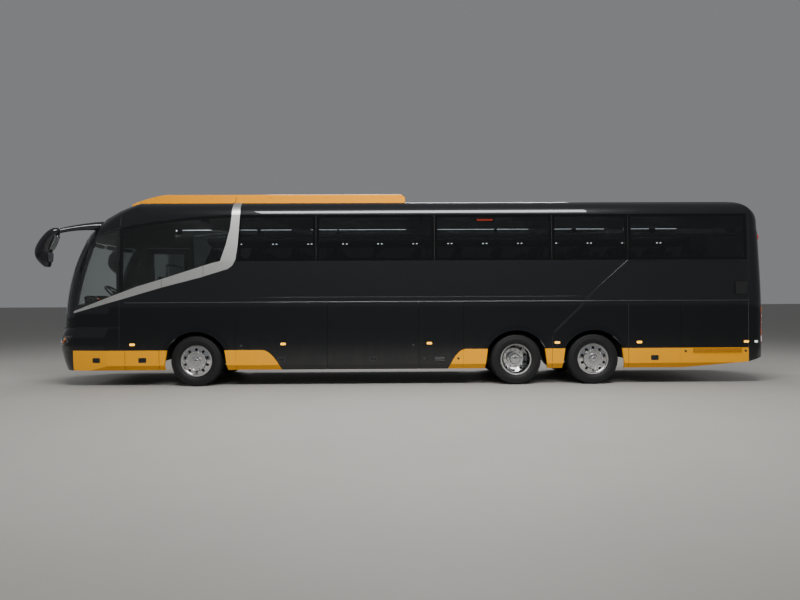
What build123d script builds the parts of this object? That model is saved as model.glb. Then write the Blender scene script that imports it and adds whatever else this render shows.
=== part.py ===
from build123d import *
from math import asin, cos, radians, sin, sqrt, tan
import os

os.makedirs("parts", exist_ok=True)

# Frame: X forward, Y to the vehicle's left, Z up from the ground. All lengths are millimetres.

# Overall lengths along the vehicle
nose_x = 6955
rear_skin_x = -7038
front_axle_x = 4105
wheelbase = 6180
tag_spacing = 1500
drive_axle_x = front_axle_x - wheelbase
tag_axle_x = drive_axle_x - tag_spacing

# Cross-section of the body
half_width = 1275
skirt_z = 315
tuck_z = 412
tuck_depth = 60
sill_z = 2410
eaves_half_width = 1232
eaves_z = 3548
roof_z = 3612
roof_corner_radius = 290
wall = 45
seat = 0.3
panel_gap = 0.6

# Plan outline of the nose and the tail: crown arc, corner arc and a flare towards the sides
plan_half_width = 1400
nose_crown_radius = 4200
nose_corner_radius = 420
nose_corner_end = radians(82)
nose_corner_half_width = 1182
tail_crown_radius = 6000
tail_corner_radius = 230
tail_corner_end = radians(86)
tail_corner_half_width = 1255

# Body sections from the ground up: height, setback of the nose, setback of the tail
mask_sections = [(250, 170, 0), (420, 83, 0), (630, 23, 0), (840, 0, 0), (985, 20, 0), (1130, 93, 0)]
screen_sections = [(1130, 93, 0), (1730, 127, 3), (2290, 258, 30), (2950, 570, 68)]
# Dome over the windscreen: angle on the dome arc, setback of the tail, nose corner radius
dome_radius = 1820
dome_z = 3640
dome_sections = [(50, 100, 480), (60, 205, 540), (70, 460, 600), (80, 800, 660), (90, 1100, 700)]

# Seams between the body panels
seam_z = 3310
seam_bend_x = 3180
screen_top_x = 6060
screen_top_z = 2950
mask_edge_x = 6490
mask_edge_z = 1450
pillar_middle = (6335, 2200)
rear_edge_x = -6600
departure_x = -5265
departure_z = 430
bumper_z = 560

# Wheels and tyres
tyre_radius = 490
tyre_half_width = 149
wheel_y = 1090
twin_spacing = 330
flange_radius = 300
barrel_radius = 285
barrel_half_width = 114
flange_thickness = 12
barrel_wall = 13
hand_holes = 10
hand_hole_radius = 27
hub_radius = 95
spindle_radius = 40
kingpin_y = 1010
kingpin_radius = 22
arch_half_width = 550
arch_shoulder_z = 730
arch_top_z = 1055
arch_foot_half_width = 610
liner_radius = 632
liner_wall = 5
liner_y = 555
lip_width = 85
lip_height = 14

# Glazing
glass = 7.7
rebate = 8
frame_overlap = 55
pane_gap = 8
pane_joints = [5555, 3300, 1787, -495, -2768, -4250]
glass_rear_x = -6562
screen_half_width = 1120
screen_bottom_z = 1165
screen_head_z = 2915
rear_window = (900, 2480, 3130)

# Doors and flaps
door_gap = 8
flap_gap = 6
hinge_z = 1604
bead_radius = 7
flap_lap = 2
rail_height = 16
rail_depth = 14
entry_door = (5050, 5990, 340, 2870)
mid_door = (-1325, -525, 340, 2360)
door_post_inset = 60
door_post_depth = 130
door_post_radius = 18
door_arm_length = 430
door_arm_closed = radians(-4)
elbow_length = 200
elbow_angle = radians(-60)
arm_radius = 15
arm_heights = (900, 1190)
lid_half_width = 1000
lid_bottom_z = 640
lid_hinge_z = 1960
lid_knuckle_y = 200

# Floors and frame
bay_floor_z = 465
deck_z = 1550
aisle_z = 1380
aisle_half_width = 230
deck_sheet = 40
cab_floor_z = 1000
deck_front_x = 4750
deck_rear_x = -6850
rail_y = 400
rail_width = 80
rail_top_z = 800
rail_bottom_z = 640
cabin_half_width = half_width - wall - 6
bay_front_x = 3336
bay_middle_x = 1578
bay_rear_x = -189
service_rear_x = -1052
seat_pitch = 800
seat_front_x = 4050
seat_rows = 13

# Roof
fairing_front_x = 5440
fairing_rear_x = 60
fairing_z = 3800
fairing_crest_x = 4450
fairing_nose_z = 3560
fairing_tail_z = 3700
fairing_half_width = 1010
fairing_shoulder_y = 820
fairing_shoulder_z = 3770
hatch_rise = 32
hatch_centres = (-1600, -5200)
hatch_half = 310
hatch_lap = 30


def side_plane(side):
    """Vertical plane outside one flank, drawn in X and Z."""
    return Plane.XZ.offset(-side * plan_half_width)


def mirrored(point):
    return (point[0], -point[1])


def end_outline(tip_x, toward, crown, corner, corner_end, corner_half_width, inset):
    """Left half of a rounded end: crown arc's end, corner arc's middle and end, flare's end."""
    reach = crown - corner
    crown_angle = asin((corner_half_width - corner * sin(corner_end)) / reach)
    centre_x = tip_x - toward * (crown - inset - reach * cos(crown_angle))
    centre_y = reach * sin(crown_angle)
    arc = [
        (centre_x + toward * (corner - inset) * cos(angle), centre_y + (corner - inset) * sin(angle))
        for angle in (crown_angle, (crown_angle + corner_end) / 2, corner_end)
    ]
    flare_y = plan_half_width - inset
    flare_x = arc[2][0] - toward * (flare_y - arc[2][1]) * tan(corner_end)
    return arc + [(flare_x, flare_y)]


def plan_section(height, front_x, back_x, nose_corner, inset):
    """Horizontal outline of the body at one height."""
    front = end_outline(
        front_x, 1, nose_crown_radius, nose_corner, nose_corner_end, nose_corner_half_width, inset
    )
    back = end_outline(
        back_x, -1, tail_crown_radius, tail_corner_radius, tail_corner_end, tail_corner_half_width, inset
    )
    with BuildSketch(Plane.XY.offset(height)) as section:
        with BuildLine():
            ThreePointArc(mirrored(front[0]), (front_x, 0), front[0])
            ThreePointArc(front[0], front[1], front[2])
            Line(front[2], front[3])
            Line(front[3], back[3])
            Line(back[3], back[2])
            ThreePointArc(back[2], back[1], back[0])
            ThreePointArc(back[0], (back_x, 0), mirrored(back[0]))
            ThreePointArc(mirrored(back[0]), mirrored(back[1]), mirrored(back[2]))
            Line(mirrored(back[2]), mirrored(back[3]))
            Line(mirrored(back[3]), mirrored(front[3]))
            Line(mirrored(front[3]), mirrored(front[2]))
            ThreePointArc(mirrored(front[2]), mirrored(front[1]), mirrored(front[0]))
        make_face()
    return section.sketch


def body_form(inset, bottom=skirt_z):
    """Solid body shape, moved inwards by the inset: lofted ends cut by the body's cross-section."""
    def rows(sections):
        return [
            (z, nose_x - nose - inset, rear_skin_x + tail + inset, nose_corner_radius, inset)
            for z, nose, tail in sections
        ]

    dome_centre_z = dome_z - dome_radius
    top_z, top_setback, _ = screen_sections[-1]
    dome_centre_x = nose_x - top_setback - sqrt(dome_radius**2 - (top_z - dome_centre_z) ** 2)
    dome_rows = rows(screen_sections)[-1:]
    for angle, tail, corner in dome_sections:
        dome_rows.append(
            (
                dome_centre_z + (dome_radius - inset) * sin(radians(angle)),
                dome_centre_x + (dome_radius - inset) * cos(radians(angle)),
                rear_skin_x + tail + inset,
                corner,
                inset,
            )
        )
    foot = half_width - tuck_depth * (tuck_z - bottom) / (tuck_z - skirt_z)
    with BuildPart() as form:
        for stack in (rows(mask_sections), rows(screen_sections), dome_rows):
            with BuildPart(mode=Mode.PRIVATE) as layer:
                for row in stack:
                    add(plan_section(*row))
                loft()
            add(layer.part)
        with BuildSketch(Plane.YZ.offset(1.05 * rear_skin_x)):
            with BuildLine():
                Polyline(
                    (-eaves_half_width, eaves_z),
                    (-half_width, sill_z),
                    (-half_width, tuck_z),
                    (-foot, bottom),
                    (foot, bottom),
                    (half_width, tuck_z),
                    (half_width, sill_z),
                    (eaves_half_width, eaves_z),
                )
                ThreePointArc((-eaves_half_width, eaves_z), (0, roof_z), (eaves_half_width, eaves_z))
            face = make_face()
            eaves = face.vertices().sort_by(Axis.Y)[-2:]
            fillet(eaves, roof_corner_radius)
            if inset:
                offset(amount=-inset, kind=Kind.INTERSECTION)
        extrude(amount=2.1 * nose_x, mode=Mode.INTERSECT)
    return form.part


def roof_region(drop):
    """Space above the seam of the roof, lowered by the drop."""
    with BuildPart() as region:
        with BuildSketch(Plane.XZ):
            with BuildLine():
                Polyline(
                    (1.1 * nose_x, screen_top_z - drop),
                    (1.1 * nose_x, 2 * roof_z),
                    (1.1 * rear_skin_x, 2 * roof_z),
                    (1.1 * rear_skin_x, seam_z - drop),
                    (seam_bend_x, seam_z - drop),
                )
                TangentArc((seam_bend_x, seam_z - drop), (screen_top_x, screen_top_z - drop), tangent=(1, 0))
                Line((screen_top_x, screen_top_z - drop), (1.1 * nose_x, screen_top_z - drop))
            make_face()
        extrude(amount=2 * half_width, both=True)
    return region.part


def mask_region(shift):
    """Space ahead of the pillar line, moved back by the shift."""
    head = (screen_top_x - 20 - shift, screen_top_z + 40)
    with BuildPart() as region:
        with BuildSketch(Plane.XZ):
            with BuildLine():
                Polyline(head, (1.1 * nose_x, screen_top_z + 40), (1.1 * nose_x, 0), (mask_edge_x - shift, 0))
                Line((mask_edge_x - shift, 0), (mask_edge_x - shift, mask_edge_z))
                ThreePointArc(
                    (mask_edge_x - shift, mask_edge_z), (pillar_middle[0] - shift, pillar_middle[1]), head
                )
            make_face()
        extrude(amount=2 * half_width, both=True)
    return region.part


def rear_region(shift):
    """Space behind the rear seam, moved forward by the shift."""
    with BuildPart() as region:
        with BuildSketch(Plane.XZ):
            with Locations((rear_edge_x + shift, 0)):
                Rectangle(abs(rear_skin_x), 2 * roof_z, align=(Align.MAX, Align.CENTER))
        extrude(amount=2 * half_width, both=True)
    return region.part


def flank_prism(outline, side, depth=2 * wall + 60):
    """Prism through one flank from an outline drawn in X and Z."""
    with BuildPart() as prism:
        with BuildSketch(side_plane(side)):
            add(outline)
        extrude(amount=side * (plan_half_width - half_width + depth))
    return prism.part


def flat_outline(points):
    with BuildSketch() as outline:
        with BuildLine():
            Polyline(*points, close=True)
        make_face()
    return outline.sketch


# Body forms at the skin, the glass, the rebate, the wall and the cabin
skin_form = body_form(0)
outer_seat_form = body_form(-seat)
sash_form = body_form(-8)
glass_form = body_form(glass)
rebate_form = body_form(rebate)
cavity_form = body_form(wall, 200)
cabin_form = body_form(wall + seat, 200)

with BuildPart() as shell:
    add(skin_form)
    add(cavity_form, mode=Mode.SUBTRACT)
    with BuildSketch(Plane.XZ):
        add(
            flat_outline(
                [
                    (departure_x, skirt_z - 5),
                    (rear_edge_x, departure_z),
                    (rear_skin_x, bumper_z),
                    (1.1 * rear_skin_x, bumper_z),
                    (1.1 * rear_skin_x, 0),
                    (departure_x, 0),
                ]
            )
        )
    extrude(amount=2 * half_width, both=True, mode=Mode.SUBTRACT)

with BuildPart() as glazing:
    add(skin_form)
    add(glass_form, mode=Mode.SUBTRACT)

# Outline of the side glazing, in X and Z, as it shows on the left flank
with BuildSketch() as glass_band:
    with BuildLine():
        Polyline(
            (mask_edge_x - 25, mask_edge_z + 30),
            (5565, 1740),
            (4790, 1980),
            (3700, 2340),
            (3500, sill_z),
            (glass_rear_x, sill_z),
            (glass_rear_x, seam_z - 5),
            (seam_bend_x, seam_z - 5),
        )
        TangentArc((seam_bend_x, seam_z - 5), (screen_top_x - 30, screen_top_z - 1), tangent=(1, 0))
        ThreePointArc(
            (screen_top_x - 30, screen_top_z - 1),
            (pillar_middle[0] - 25, pillar_middle[1]),
            (mask_edge_x - 25, mask_edge_z + 30),
        )
    make_face()


def side_band(side):
    """Glazing outline of one flank; on the door side it ends at the doorway."""
    with BuildSketch() as band:
        add(glass_band.sketch)
        if side < 0:
            with Locations((entry_door[0] - door_gap - 30, 0)):
                Rectangle(2 * nose_x, 4 * roof_z, align=(Align.MIN, Align.CENTER), mode=Mode.SUBTRACT)
    return band.sketch


def pane_outlines(side):
    """The panes of one flank, front to rear, split at the pane joints."""
    front_end = nose_x if side > 0 else entry_door[0]
    edges = [front_end] + [x for x in pane_joints if x < front_end] + [rear_skin_x]
    panes = []
    for front, rear in zip(edges, edges[1:]):
        with BuildSketch() as pane:
            add(side_band(side))
            with Locations(((front + rear) / 2, sill_z)):
                Rectangle(front - rear - pane_gap, 2 * roof_z, mode=Mode.INTERSECT)
        panes.append(pane.sketch)
    return panes


def rounded_box_outline(left, right, low, high, corner):
    with BuildSketch() as outline:
        with Locations(((left + right) / 2, (low + high) / 2)):
            RectangleRounded(right - left, high - low, corner)
    return outline.sketch


def end_prism(outline, from_x, length):
    """Prism along X from an outline drawn in Y and Z."""
    with BuildPart() as prism:
        with BuildSketch(Plane.YZ.offset(from_x)):
            add(outline)
        extrude(amount=length)
    return prism.part


def arch_outline(axle_x):
    """Wheel arch: an arc over straight legs that open towards the skirt."""
    with BuildSketch() as arch:
        with BuildLine():
            Polyline(
                (axle_x - arch_half_width, arch_shoulder_z),
                (axle_x - arch_foot_half_width, skirt_z),
                (axle_x - arch_foot_half_width, 0),
                (axle_x + arch_foot_half_width, 0),
                (axle_x + arch_foot_half_width, skirt_z),
                (axle_x + arch_half_width, arch_shoulder_z),
            )
            ThreePointArc(
                (axle_x + arch_half_width, arch_shoulder_z),
                (axle_x, arch_top_z),
                (axle_x - arch_half_width, arch_shoulder_z),
            )
        make_face()
    return arch.sketch


axles = [front_axle_x, drive_axle_x, tag_axle_x]
screen_outline = rounded_box_outline(
    -screen_half_width, screen_half_width, screen_bottom_z, screen_head_z, 110
)
rear_window_outline = rounded_box_outline(-rear_window[0], rear_window[0], rear_window[1], rear_window[2], 70)

# Lamp outlines in Y and Z on the left half of the nose and of the tail
headlamp_outline = flat_outline([(640, 745), (1010, 760), (1165, 850), (1180, 985), (1060, 975), (700, 850)])
tail_lamp_outline = rounded_box_outline(1065, 1195, 780, 1520, 40)


# Roof shell with the hatch openings
with BuildPart() as roof_shell:
    add(shell.part)
    add(roof_region(0), mode=Mode.INTERSECT)
    with BuildSketch(Plane.XY.offset(seam_z)):
        with Locations(*[(x, 0) for x in hatch_centres]):
            Rectangle(2 * (hatch_half - hatch_lap), 2 * (hatch_half - hatch_lap))
    extrude(amount=roof_z, mode=Mode.SUBTRACT)
roof_shell.part.label = "roof_shell"
export_step(roof_shell.part, "parts/roof_shell.step")

# Panels under the roof seam
with BuildPart() as lower_shell:
    add(shell.part)
    add(roof_region(panel_gap), mode=Mode.SUBTRACT)

# Front mask with the windscreen rebate and the lamp openings, over a bumper in panels. A narrow strip of the
# bumper, of its own, leaves a window in front of the towing socket
tow_y = -600
tow_z = 500
tow_window = (120, 90)
bumper_seam_z = 700
with BuildPart() as front_mask:
    add(lower_shell.part)
    add(mask_region(0), mode=Mode.INTERSECT)
    with BuildPart(mode=Mode.PRIVATE) as screen_rebate:
        add(end_prism(screen_outline, mask_edge_x - 500, nose_x))
        add(rebate_form, mode=Mode.SUBTRACT)
    add(screen_rebate.part, mode=Mode.SUBTRACT)
    with BuildSketch(Plane.YZ.offset(mask_edge_x - 600)):
        add(screen_outline)
        offset(amount=-frame_overlap)
        with BuildSketch(Plane.XY, mode=Mode.PRIVATE) as lamp:
            add(headlamp_outline)
            offset(amount=seat)
        add(lamp.sketch)
        add(mirror(lamp.sketch, about=Plane.YZ, mode=Mode.PRIVATE))
        with Locations((tow_y, tow_z)):
            Rectangle(*tow_window)
        with Locations((0, bumper_seam_z)):
            Rectangle(3 * half_width, panel_gap)
        with Locations((tow_y - tow_window[0] / 2, 0), (tow_y + tow_window[0] / 2, 0)):
            Rectangle(panel_gap, 2 * bumper_seam_z)
    extrude(amount=nose_x, mode=Mode.SUBTRACT)
front_mask.part.label = "front_mask"
export_step(front_mask.part, "parts/front_mask.step")

with BuildPart() as windscreen:
    add(glazing.part)
    with BuildSketch(Plane.YZ.offset(mask_edge_x - 500)):
        add(screen_outline)
        offset(amount=-3)
    extrude(amount=nose_x, mode=Mode.INTERSECT)
windscreen.part.label = "windscreen"
export_step(windscreen.part, "parts/windscreen.step")

with BuildPart() as headlamps:
    add(shell.part)
    with BuildSketch(Plane.YZ.offset(mask_edge_x + seat)):
        add(headlamp_outline)
        mirror(about=Plane.YZ)
    extrude(amount=nose_x, mode=Mode.INTERSECT)
headlamps.part.label = "headlamps"
export_step(headlamps.part, "parts/headlamps.step")

# Rear wall with its window, the engine opening and the lamp openings
lid_edge_z = lid_hinge_z + bead_radius + 6
(low_z, _, low_setback), (high_z, _, high_setback) = screen_sections[1:3]
lid_setback = low_setback + (high_setback - low_setback) * (lid_hinge_z - low_z) / (high_z - low_z)
lid_hinge_x = rear_skin_x + lid_setback + lid_knuckle_y**2 / (2 * tail_crown_radius)
lid_outline = rounded_box_outline(-lid_half_width, lid_half_width, lid_bottom_z, lid_hinge_z - 6, 40)
with BuildPart() as rear_wall:
    add(lower_shell.part)
    add(rear_region(0), mode=Mode.INTERSECT)
    with BuildPart(mode=Mode.PRIVATE) as window_rebate:
        add(end_prism(rear_window_outline, 1.1 * rear_skin_x, 1200))
        add(rebate_form, mode=Mode.SUBTRACT)
    add(window_rebate.part, mode=Mode.SUBTRACT)
    with BuildSketch(Plane.YZ.offset(rear_edge_x - 10)):
        add(rear_window_outline)
        offset(amount=-frame_overlap)
        add(
            rounded_box_outline(
                -lid_half_width - flap_gap, lid_half_width + flap_gap, lid_bottom_z - flap_gap, lid_edge_z, 40
            )
        )
        with BuildSketch(Plane.XY, mode=Mode.PRIVATE) as lamp:
            add(tail_lamp_outline)
            offset(amount=seat)
        add(lamp.sketch)
        add(mirror(lamp.sketch, about=Plane.YZ, mode=Mode.PRIVATE))
    extrude(amount=-600, mode=Mode.SUBTRACT)
    for y in (lid_knuckle_y, -lid_knuckle_y):
        with Locations((lid_hinge_x - bead_radius, y, lid_hinge_z + bead_radius + seat)):
            Box(wall, 90, lid_edge_z - lid_hinge_z, align=(Align.MIN, Align.CENTER, Align.MIN))
rear_wall.part.label = "rear_wall"
export_step(rear_wall.part, "parts/rear_wall.step")

# Top-hinged engine lid with two hinge beads on its upper edge
with BuildPart() as engine_lid:
    add(shell.part)
    with BuildSketch(Plane.YZ.offset(rear_edge_x - 10)):
        add(lid_outline)
    extrude(amount=-600, mode=Mode.INTERSECT)
    for y in (lid_knuckle_y, -lid_knuckle_y):
        with Locations((lid_hinge_x, y, lid_hinge_z)):
            Cylinder(bead_radius, 80, rotation=(90, 0, 0))
            Box(wall - 2 * bead_radius, 80, 2 * bead_radius, align=(Align.MIN, Align.CENTER, Align.MAX))
engine_lid.part.label = "engine_lid"
export_step(engine_lid.part, "parts/engine_lid.step")

with BuildPart() as tail_lamps:
    add(shell.part)
    with BuildSketch(Plane.YZ.offset(rear_edge_x - 10)):
        add(tail_lamp_outline)
        mirror(about=Plane.YZ)
    extrude(amount=-600, mode=Mode.INTERSECT)
tail_lamps.part.label = "tail_lamps"
export_step(tail_lamps.part, "parts/tail_lamps.step")

# Side flaps: name, side (1 is left), front edge, rear edge
flaps = [
    ("bay_door_left_front", 1, bay_front_x, bay_middle_x),
    ("bay_door_left_rear", 1, bay_middle_x, bay_rear_x),
    ("service_door_left", 1, bay_rear_x, service_rear_x),
    ("engine_side_door_left", 1, departure_x, rear_edge_x + flap_gap),
    ("bay_door_right_front", -1, bay_front_x, bay_middle_x),
    ("bay_door_right_rear", -1, bay_middle_x, bay_rear_x),
    ("engine_side_door_right", -1, departure_x, rear_edge_x + flap_gap),
]
plug_doors = [("entry_door", entry_door), ("mid_door", mid_door)]
flap_top_z = hinge_z - flap_lap
wall_edge_z = hinge_z + bead_radius + seat


def box_outline(front, rear, low, high):
    with BuildSketch() as outline:
        with Locations(((front + rear) / 2, (low + high) / 2)):
            Rectangle(abs(front - rear), high - low)
    return outline.sketch


# Flank panels: glazing rebate, window openings, wheel arches and doorways are cut out
with BuildPart() as flank_shell:
    add(lower_shell.part)
    add(mask_region(panel_gap), mode=Mode.SUBTRACT)
    add(rear_region(panel_gap), mode=Mode.SUBTRACT)

for side, side_name in ((1, "left"), (-1, "right")):
    with BuildPart() as side_wall:
        add(flank_shell.part)
        with Locations((0, side * half_width, roof_z / 2)):
            Box(3 * nose_x, 2 * half_width - 200, 2 * roof_z, mode=Mode.INTERSECT)
        with BuildPart(mode=Mode.PRIVATE) as band_rebate:
            add(flank_prism(side_band(side), side))
            add(rebate_form, mode=Mode.SUBTRACT)
        add(band_rebate.part, mode=Mode.SUBTRACT)
        with BuildSketch(side_plane(side)):
            for pane in pane_outlines(side):
                with BuildSketch(Plane.XY, mode=Mode.PRIVATE) as opening:
                    add(pane)
                    offset(amount=-frame_overlap)
                add(opening.sketch)
            for axle_x in axles:
                add(arch_outline(axle_x))
            for name, flap_side, front, rear in flaps:
                if flap_side == side:
                    add(box_outline(front, rear, 0, wall_edge_z))
            if side < 0:
                for name, (rear, front, low, high) in plug_doors:
                    add(box_outline(front + door_gap, rear - door_gap, 0, high + door_gap))
        extrude(amount=side * (plan_half_width - half_width + 2 * wall + 60), mode=Mode.SUBTRACT)
    side_wall.part.label = "side_wall_" + side_name
    export_step(side_wall.part, "parts/side_wall_" + side_name + ".step")

with BuildPart() as window_panes:
    for side in (1, -1):
        for pane in pane_outlines(side):
            with BuildPart(mode=Mode.PRIVATE) as sheet:
                add(glazing.part)
                add(flank_prism(pane, side), mode=Mode.INTERSECT)
            add(sheet.part)
window_panes.part.label = "window_panes"
export_step(window_panes.part, "parts/window_panes.step")

with BuildPart() as rear_window_pane:
    add(glazing.part)
    with BuildSketch(Plane.YZ.offset(rear_edge_x - 10)):
        add(rear_window_outline)
        offset(amount=-3)
    extrude(amount=-600, mode=Mode.INTERSECT)
rear_window_pane.part.label = "rear_window"
export_step(rear_window_pane.part, "parts/rear_window.step")

for name, side, front, rear in flaps:
    with BuildPart() as flap:
        add(shell.part)
        with BuildSketch(side_plane(side)):
            add(box_outline(front - flap_gap / 2, rear + flap_gap / 2, 0, flap_top_z))
        extrude(amount=side * (plan_half_width - half_width + 2 * wall), mode=Mode.INTERSECT)
        with Locations(((front + rear) / 2, side * half_width, hinge_z)):
            Cylinder(bead_radius, front - rear - flap_gap, rotation=(0, 90, 0))
    flap.part.label = name
    export_step(flap.part, "parts/" + name + ".step")

# Waist rails over the flaps, broken at the doorways
rail_spans = [
    (1, 5465, rear_edge_x + flap_gap),
    (-1, entry_door[0] - 20, mid_door[1] + 20),
    (-1, mid_door[0] - 20, rear_edge_x + flap_gap),
]
with BuildPart() as waist_rails:
    for side, front, rear in rail_spans:
        with BuildSketch(Plane.YZ.offset(rear)):
            with Locations((side * (half_width + seat + rail_depth / 2), wall_edge_z + rail_height / 2)):
                Rectangle(rail_depth, rail_height)
        extrude(amount=front - rear)
    rail_edges = waist_rails.edges().filter_by(Axis.X)
    fillet(rail_edges.filter_by(lambda e: abs(e.center().Y) > half_width + seat + 1), rail_depth / 3)
waist_rails.part.label = "waist_rails"
export_step(waist_rails.part, "parts/waist_rails.step")

# Brushed sash that rises from the nose along the driver's window and turns up to the roof
with BuildSketch() as sash_outline:
    with BuildLine():
        Polyline(
            (3227, 3600),
            (3270, 3012),
            (3291, 2724),
            (3332, 2440),
            (3390, 2330),
            (3480, 2262),
            (4011, 2098),
            (4729, 1914),
            (5565, 1671),
            (6475, 1422),
            (6475, 1462),
            (5565, 1800),
            (5206, 1935),
            (4848, 2040),
            (3771, 2380),
            (3627, 2413),
            (3519, 2725),
            (3444, 3012),
            (3363, 3600),
            close=True,
        )
    make_face()

with BuildPart() as window_sashes:
    for side in (1, -1):
        with BuildPart(mode=Mode.PRIVATE) as sash:
            add(sash_form)
            add(outer_seat_form, mode=Mode.SUBTRACT)
            add(flank_prism(sash_outline.sketch, side), mode=Mode.INTERSECT)
            with Locations((0, side * half_width, 0)):
                Box(3 * nose_x, half_width, 2 * seam_z, mode=Mode.INTERSECT)
            if side < 0:
                with Locations((entry_door[0] - door_gap - 30, 0, 0)):
                    Box(
                        nose_x,
                        4 * half_width,
                        4 * roof_z,
                        align=(Align.MIN, Align.CENTER, Align.CENTER),
                        mode=Mode.SUBTRACT,
                    )
        add(sash.part)
window_sashes.part.label = "window_sashes"
export_step(window_sashes.part, "parts/window_sashes.step")

# Plug doors on the right flank: leaf, glass, and a turning post with two swan-neck arms
leaf_margin = 90
leaf_sill_z = 1250
bracket_depth = 30
bracket_drop = 60
leaf_pin_radius = 10
arm_eye_radius = 20
arm_eye_height = 36
inner_y = -(half_width - wall)


def door_axes(rear):
    """Post and leaf pin of a plug door, both upright, in X and Y."""
    post = (rear + door_post_inset, -(half_width - door_post_depth))
    pin = (post[0] + door_arm_length * cos(door_arm_closed), post[1] - door_arm_length * sin(door_arm_closed))
    return post, pin


for name, (rear, front, low, high) in plug_doors:
    post, pin = door_axes(rear)
    glass_outline = rounded_box_outline(
        rear + leaf_margin, front - leaf_margin, leaf_sill_z, high - leaf_margin, 50
    )
    with BuildPart() as leaf:
        add(shell.part)
        with BuildSketch(side_plane(-1)):
            add(box_outline(front, rear, low, high))
        extrude(amount=-(plan_half_width - half_width + 2 * wall + 100), mode=Mode.INTERSECT)
        with BuildPart(mode=Mode.PRIVATE) as leaf_rebate:
            add(flank_prism(glass_outline, -1, 250))
            add(rebate_form, mode=Mode.SUBTRACT)
        add(leaf_rebate.part, mode=Mode.SUBTRACT)
        with BuildSketch(side_plane(-1)):
            add(glass_outline)
            offset(amount=-40)
        extrude(amount=-(plan_half_width - half_width + 2 * wall + 100), mode=Mode.SUBTRACT)
        for z in arm_heights:
            with BuildSketch(Plane.XY.offset(z - bracket_drop)):
                with BuildLine():
                    Polyline(
                        (pin[0] - 60, inner_y - 20),
                        (pin[0] - 60, inner_y),
                        (pin[0] - 24, pin[1]),
                        (pin[0] + 24, pin[1]),
                        (pin[0] + 60, inner_y),
                        (pin[0] + 60, inner_y - 20),
                        close=True,
                    )
                make_face()
                with Locations(pin):
                    Circle(24)
                    Circle(leaf_pin_radius + seat, mode=Mode.SUBTRACT)
            extrude(amount=bracket_depth)
    leaf.part.label = name + "_leaf"
    export_step(leaf.part, "parts/" + name + "_leaf.step")

    with BuildPart() as leaf_glass:
        add(glazing.part)
        add(flank_prism(glass_outline, -1, 250), mode=Mode.INTERSECT)
    leaf_glass.part.label = name + "_glass"
    export_step(leaf_glass.part, "parts/" + name + "_glass.step")

    elbow = (
        post[0] + elbow_length * cos(elbow_angle + door_arm_closed),
        post[1] - elbow_length * sin(elbow_angle + door_arm_closed),
    )
    with BuildPart() as arm:
        with Locations((post[0], post[1], bay_floor_z + seat)):
            Cylinder(
                door_post_radius, high - 250 - bay_floor_z, align=(Align.CENTER, Align.CENTER, Align.MIN)
            )
        for z in arm_heights:
            with BuildLine() as neck:
                FilletPolyline((*post, z), (*elbow, z), (*pin, z), radius=60)
            with BuildSketch(Plane(origin=neck.line @ 0, z_dir=neck.line % 0)):
                Circle(arm_radius)
            sweep(path=neck.line)
            with Locations((*pin, z)):
                Cylinder(arm_eye_radius, arm_eye_height)
                Cylinder(leaf_pin_radius, bracket_drop, align=(Align.CENTER, Align.CENTER, Align.MAX))
    arm.part.label = name + "_arm"
    export_step(arm.part, "parts/" + name + "_arm.step")

# Roof fairing seated on the roof
with BuildPart() as roof_fairing:
    with BuildSketch(Plane.YZ.offset(fairing_rear_x)):
        with BuildLine():
            Polyline(
                (-fairing_shoulder_y, fairing_shoulder_z),
                (-fairing_half_width, seam_z + 100),
                (fairing_half_width, seam_z + 100),
                (fairing_shoulder_y, fairing_shoulder_z),
            )
            ThreePointArc(
                (-fairing_shoulder_y, fairing_shoulder_z),
                (0, fairing_z),
                (fairing_shoulder_y, fairing_shoulder_z),
            )
        crest = make_face()
        fillet(crest.vertices().sort_by(Axis.Y)[-2:], 90)
    extrude(amount=fairing_front_x - fairing_rear_x)
    with BuildSketch(Plane.XZ):
        with BuildLine():
            Polyline(
                (fairing_front_x, fairing_nose_z),
                (fairing_front_x, seam_z),
                (fairing_rear_x, seam_z),
                (fairing_rear_x, fairing_tail_z),
                (fairing_rear_x + 110, fairing_z - 10),
                (fairing_crest_x, fairing_z),
            )
            TangentArc((fairing_crest_x, fairing_z), (fairing_front_x, fairing_nose_z), tangent=(1, 0))
        make_face()
    extrude(amount=2 * half_width, both=True, mode=Mode.INTERSECT)
    add(outer_seat_form, mode=Mode.SUBTRACT)
roof_fairing.part.label = "roof_fairing"
export_step(roof_fairing.part, "parts/roof_fairing.step")

for number, x in enumerate(hatch_centres, start=1):
    with BuildPart() as hatch:
        with BuildSketch(Plane.XY.offset(seam_z)):
            with Locations((x, 0)):
                RectangleRounded(2 * hatch_half, 2 * hatch_half, 60)
        extrude(amount=roof_z + hatch_rise - seam_z)
        fillet(hatch.edges().group_by(Axis.Z)[-1], 12)
        add(outer_seat_form, mode=Mode.SUBTRACT)
    hatch.part.label = f"roof_hatch_{number}"
    export_step(hatch.part, f"parts/roof_hatch_{number}.step")

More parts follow.
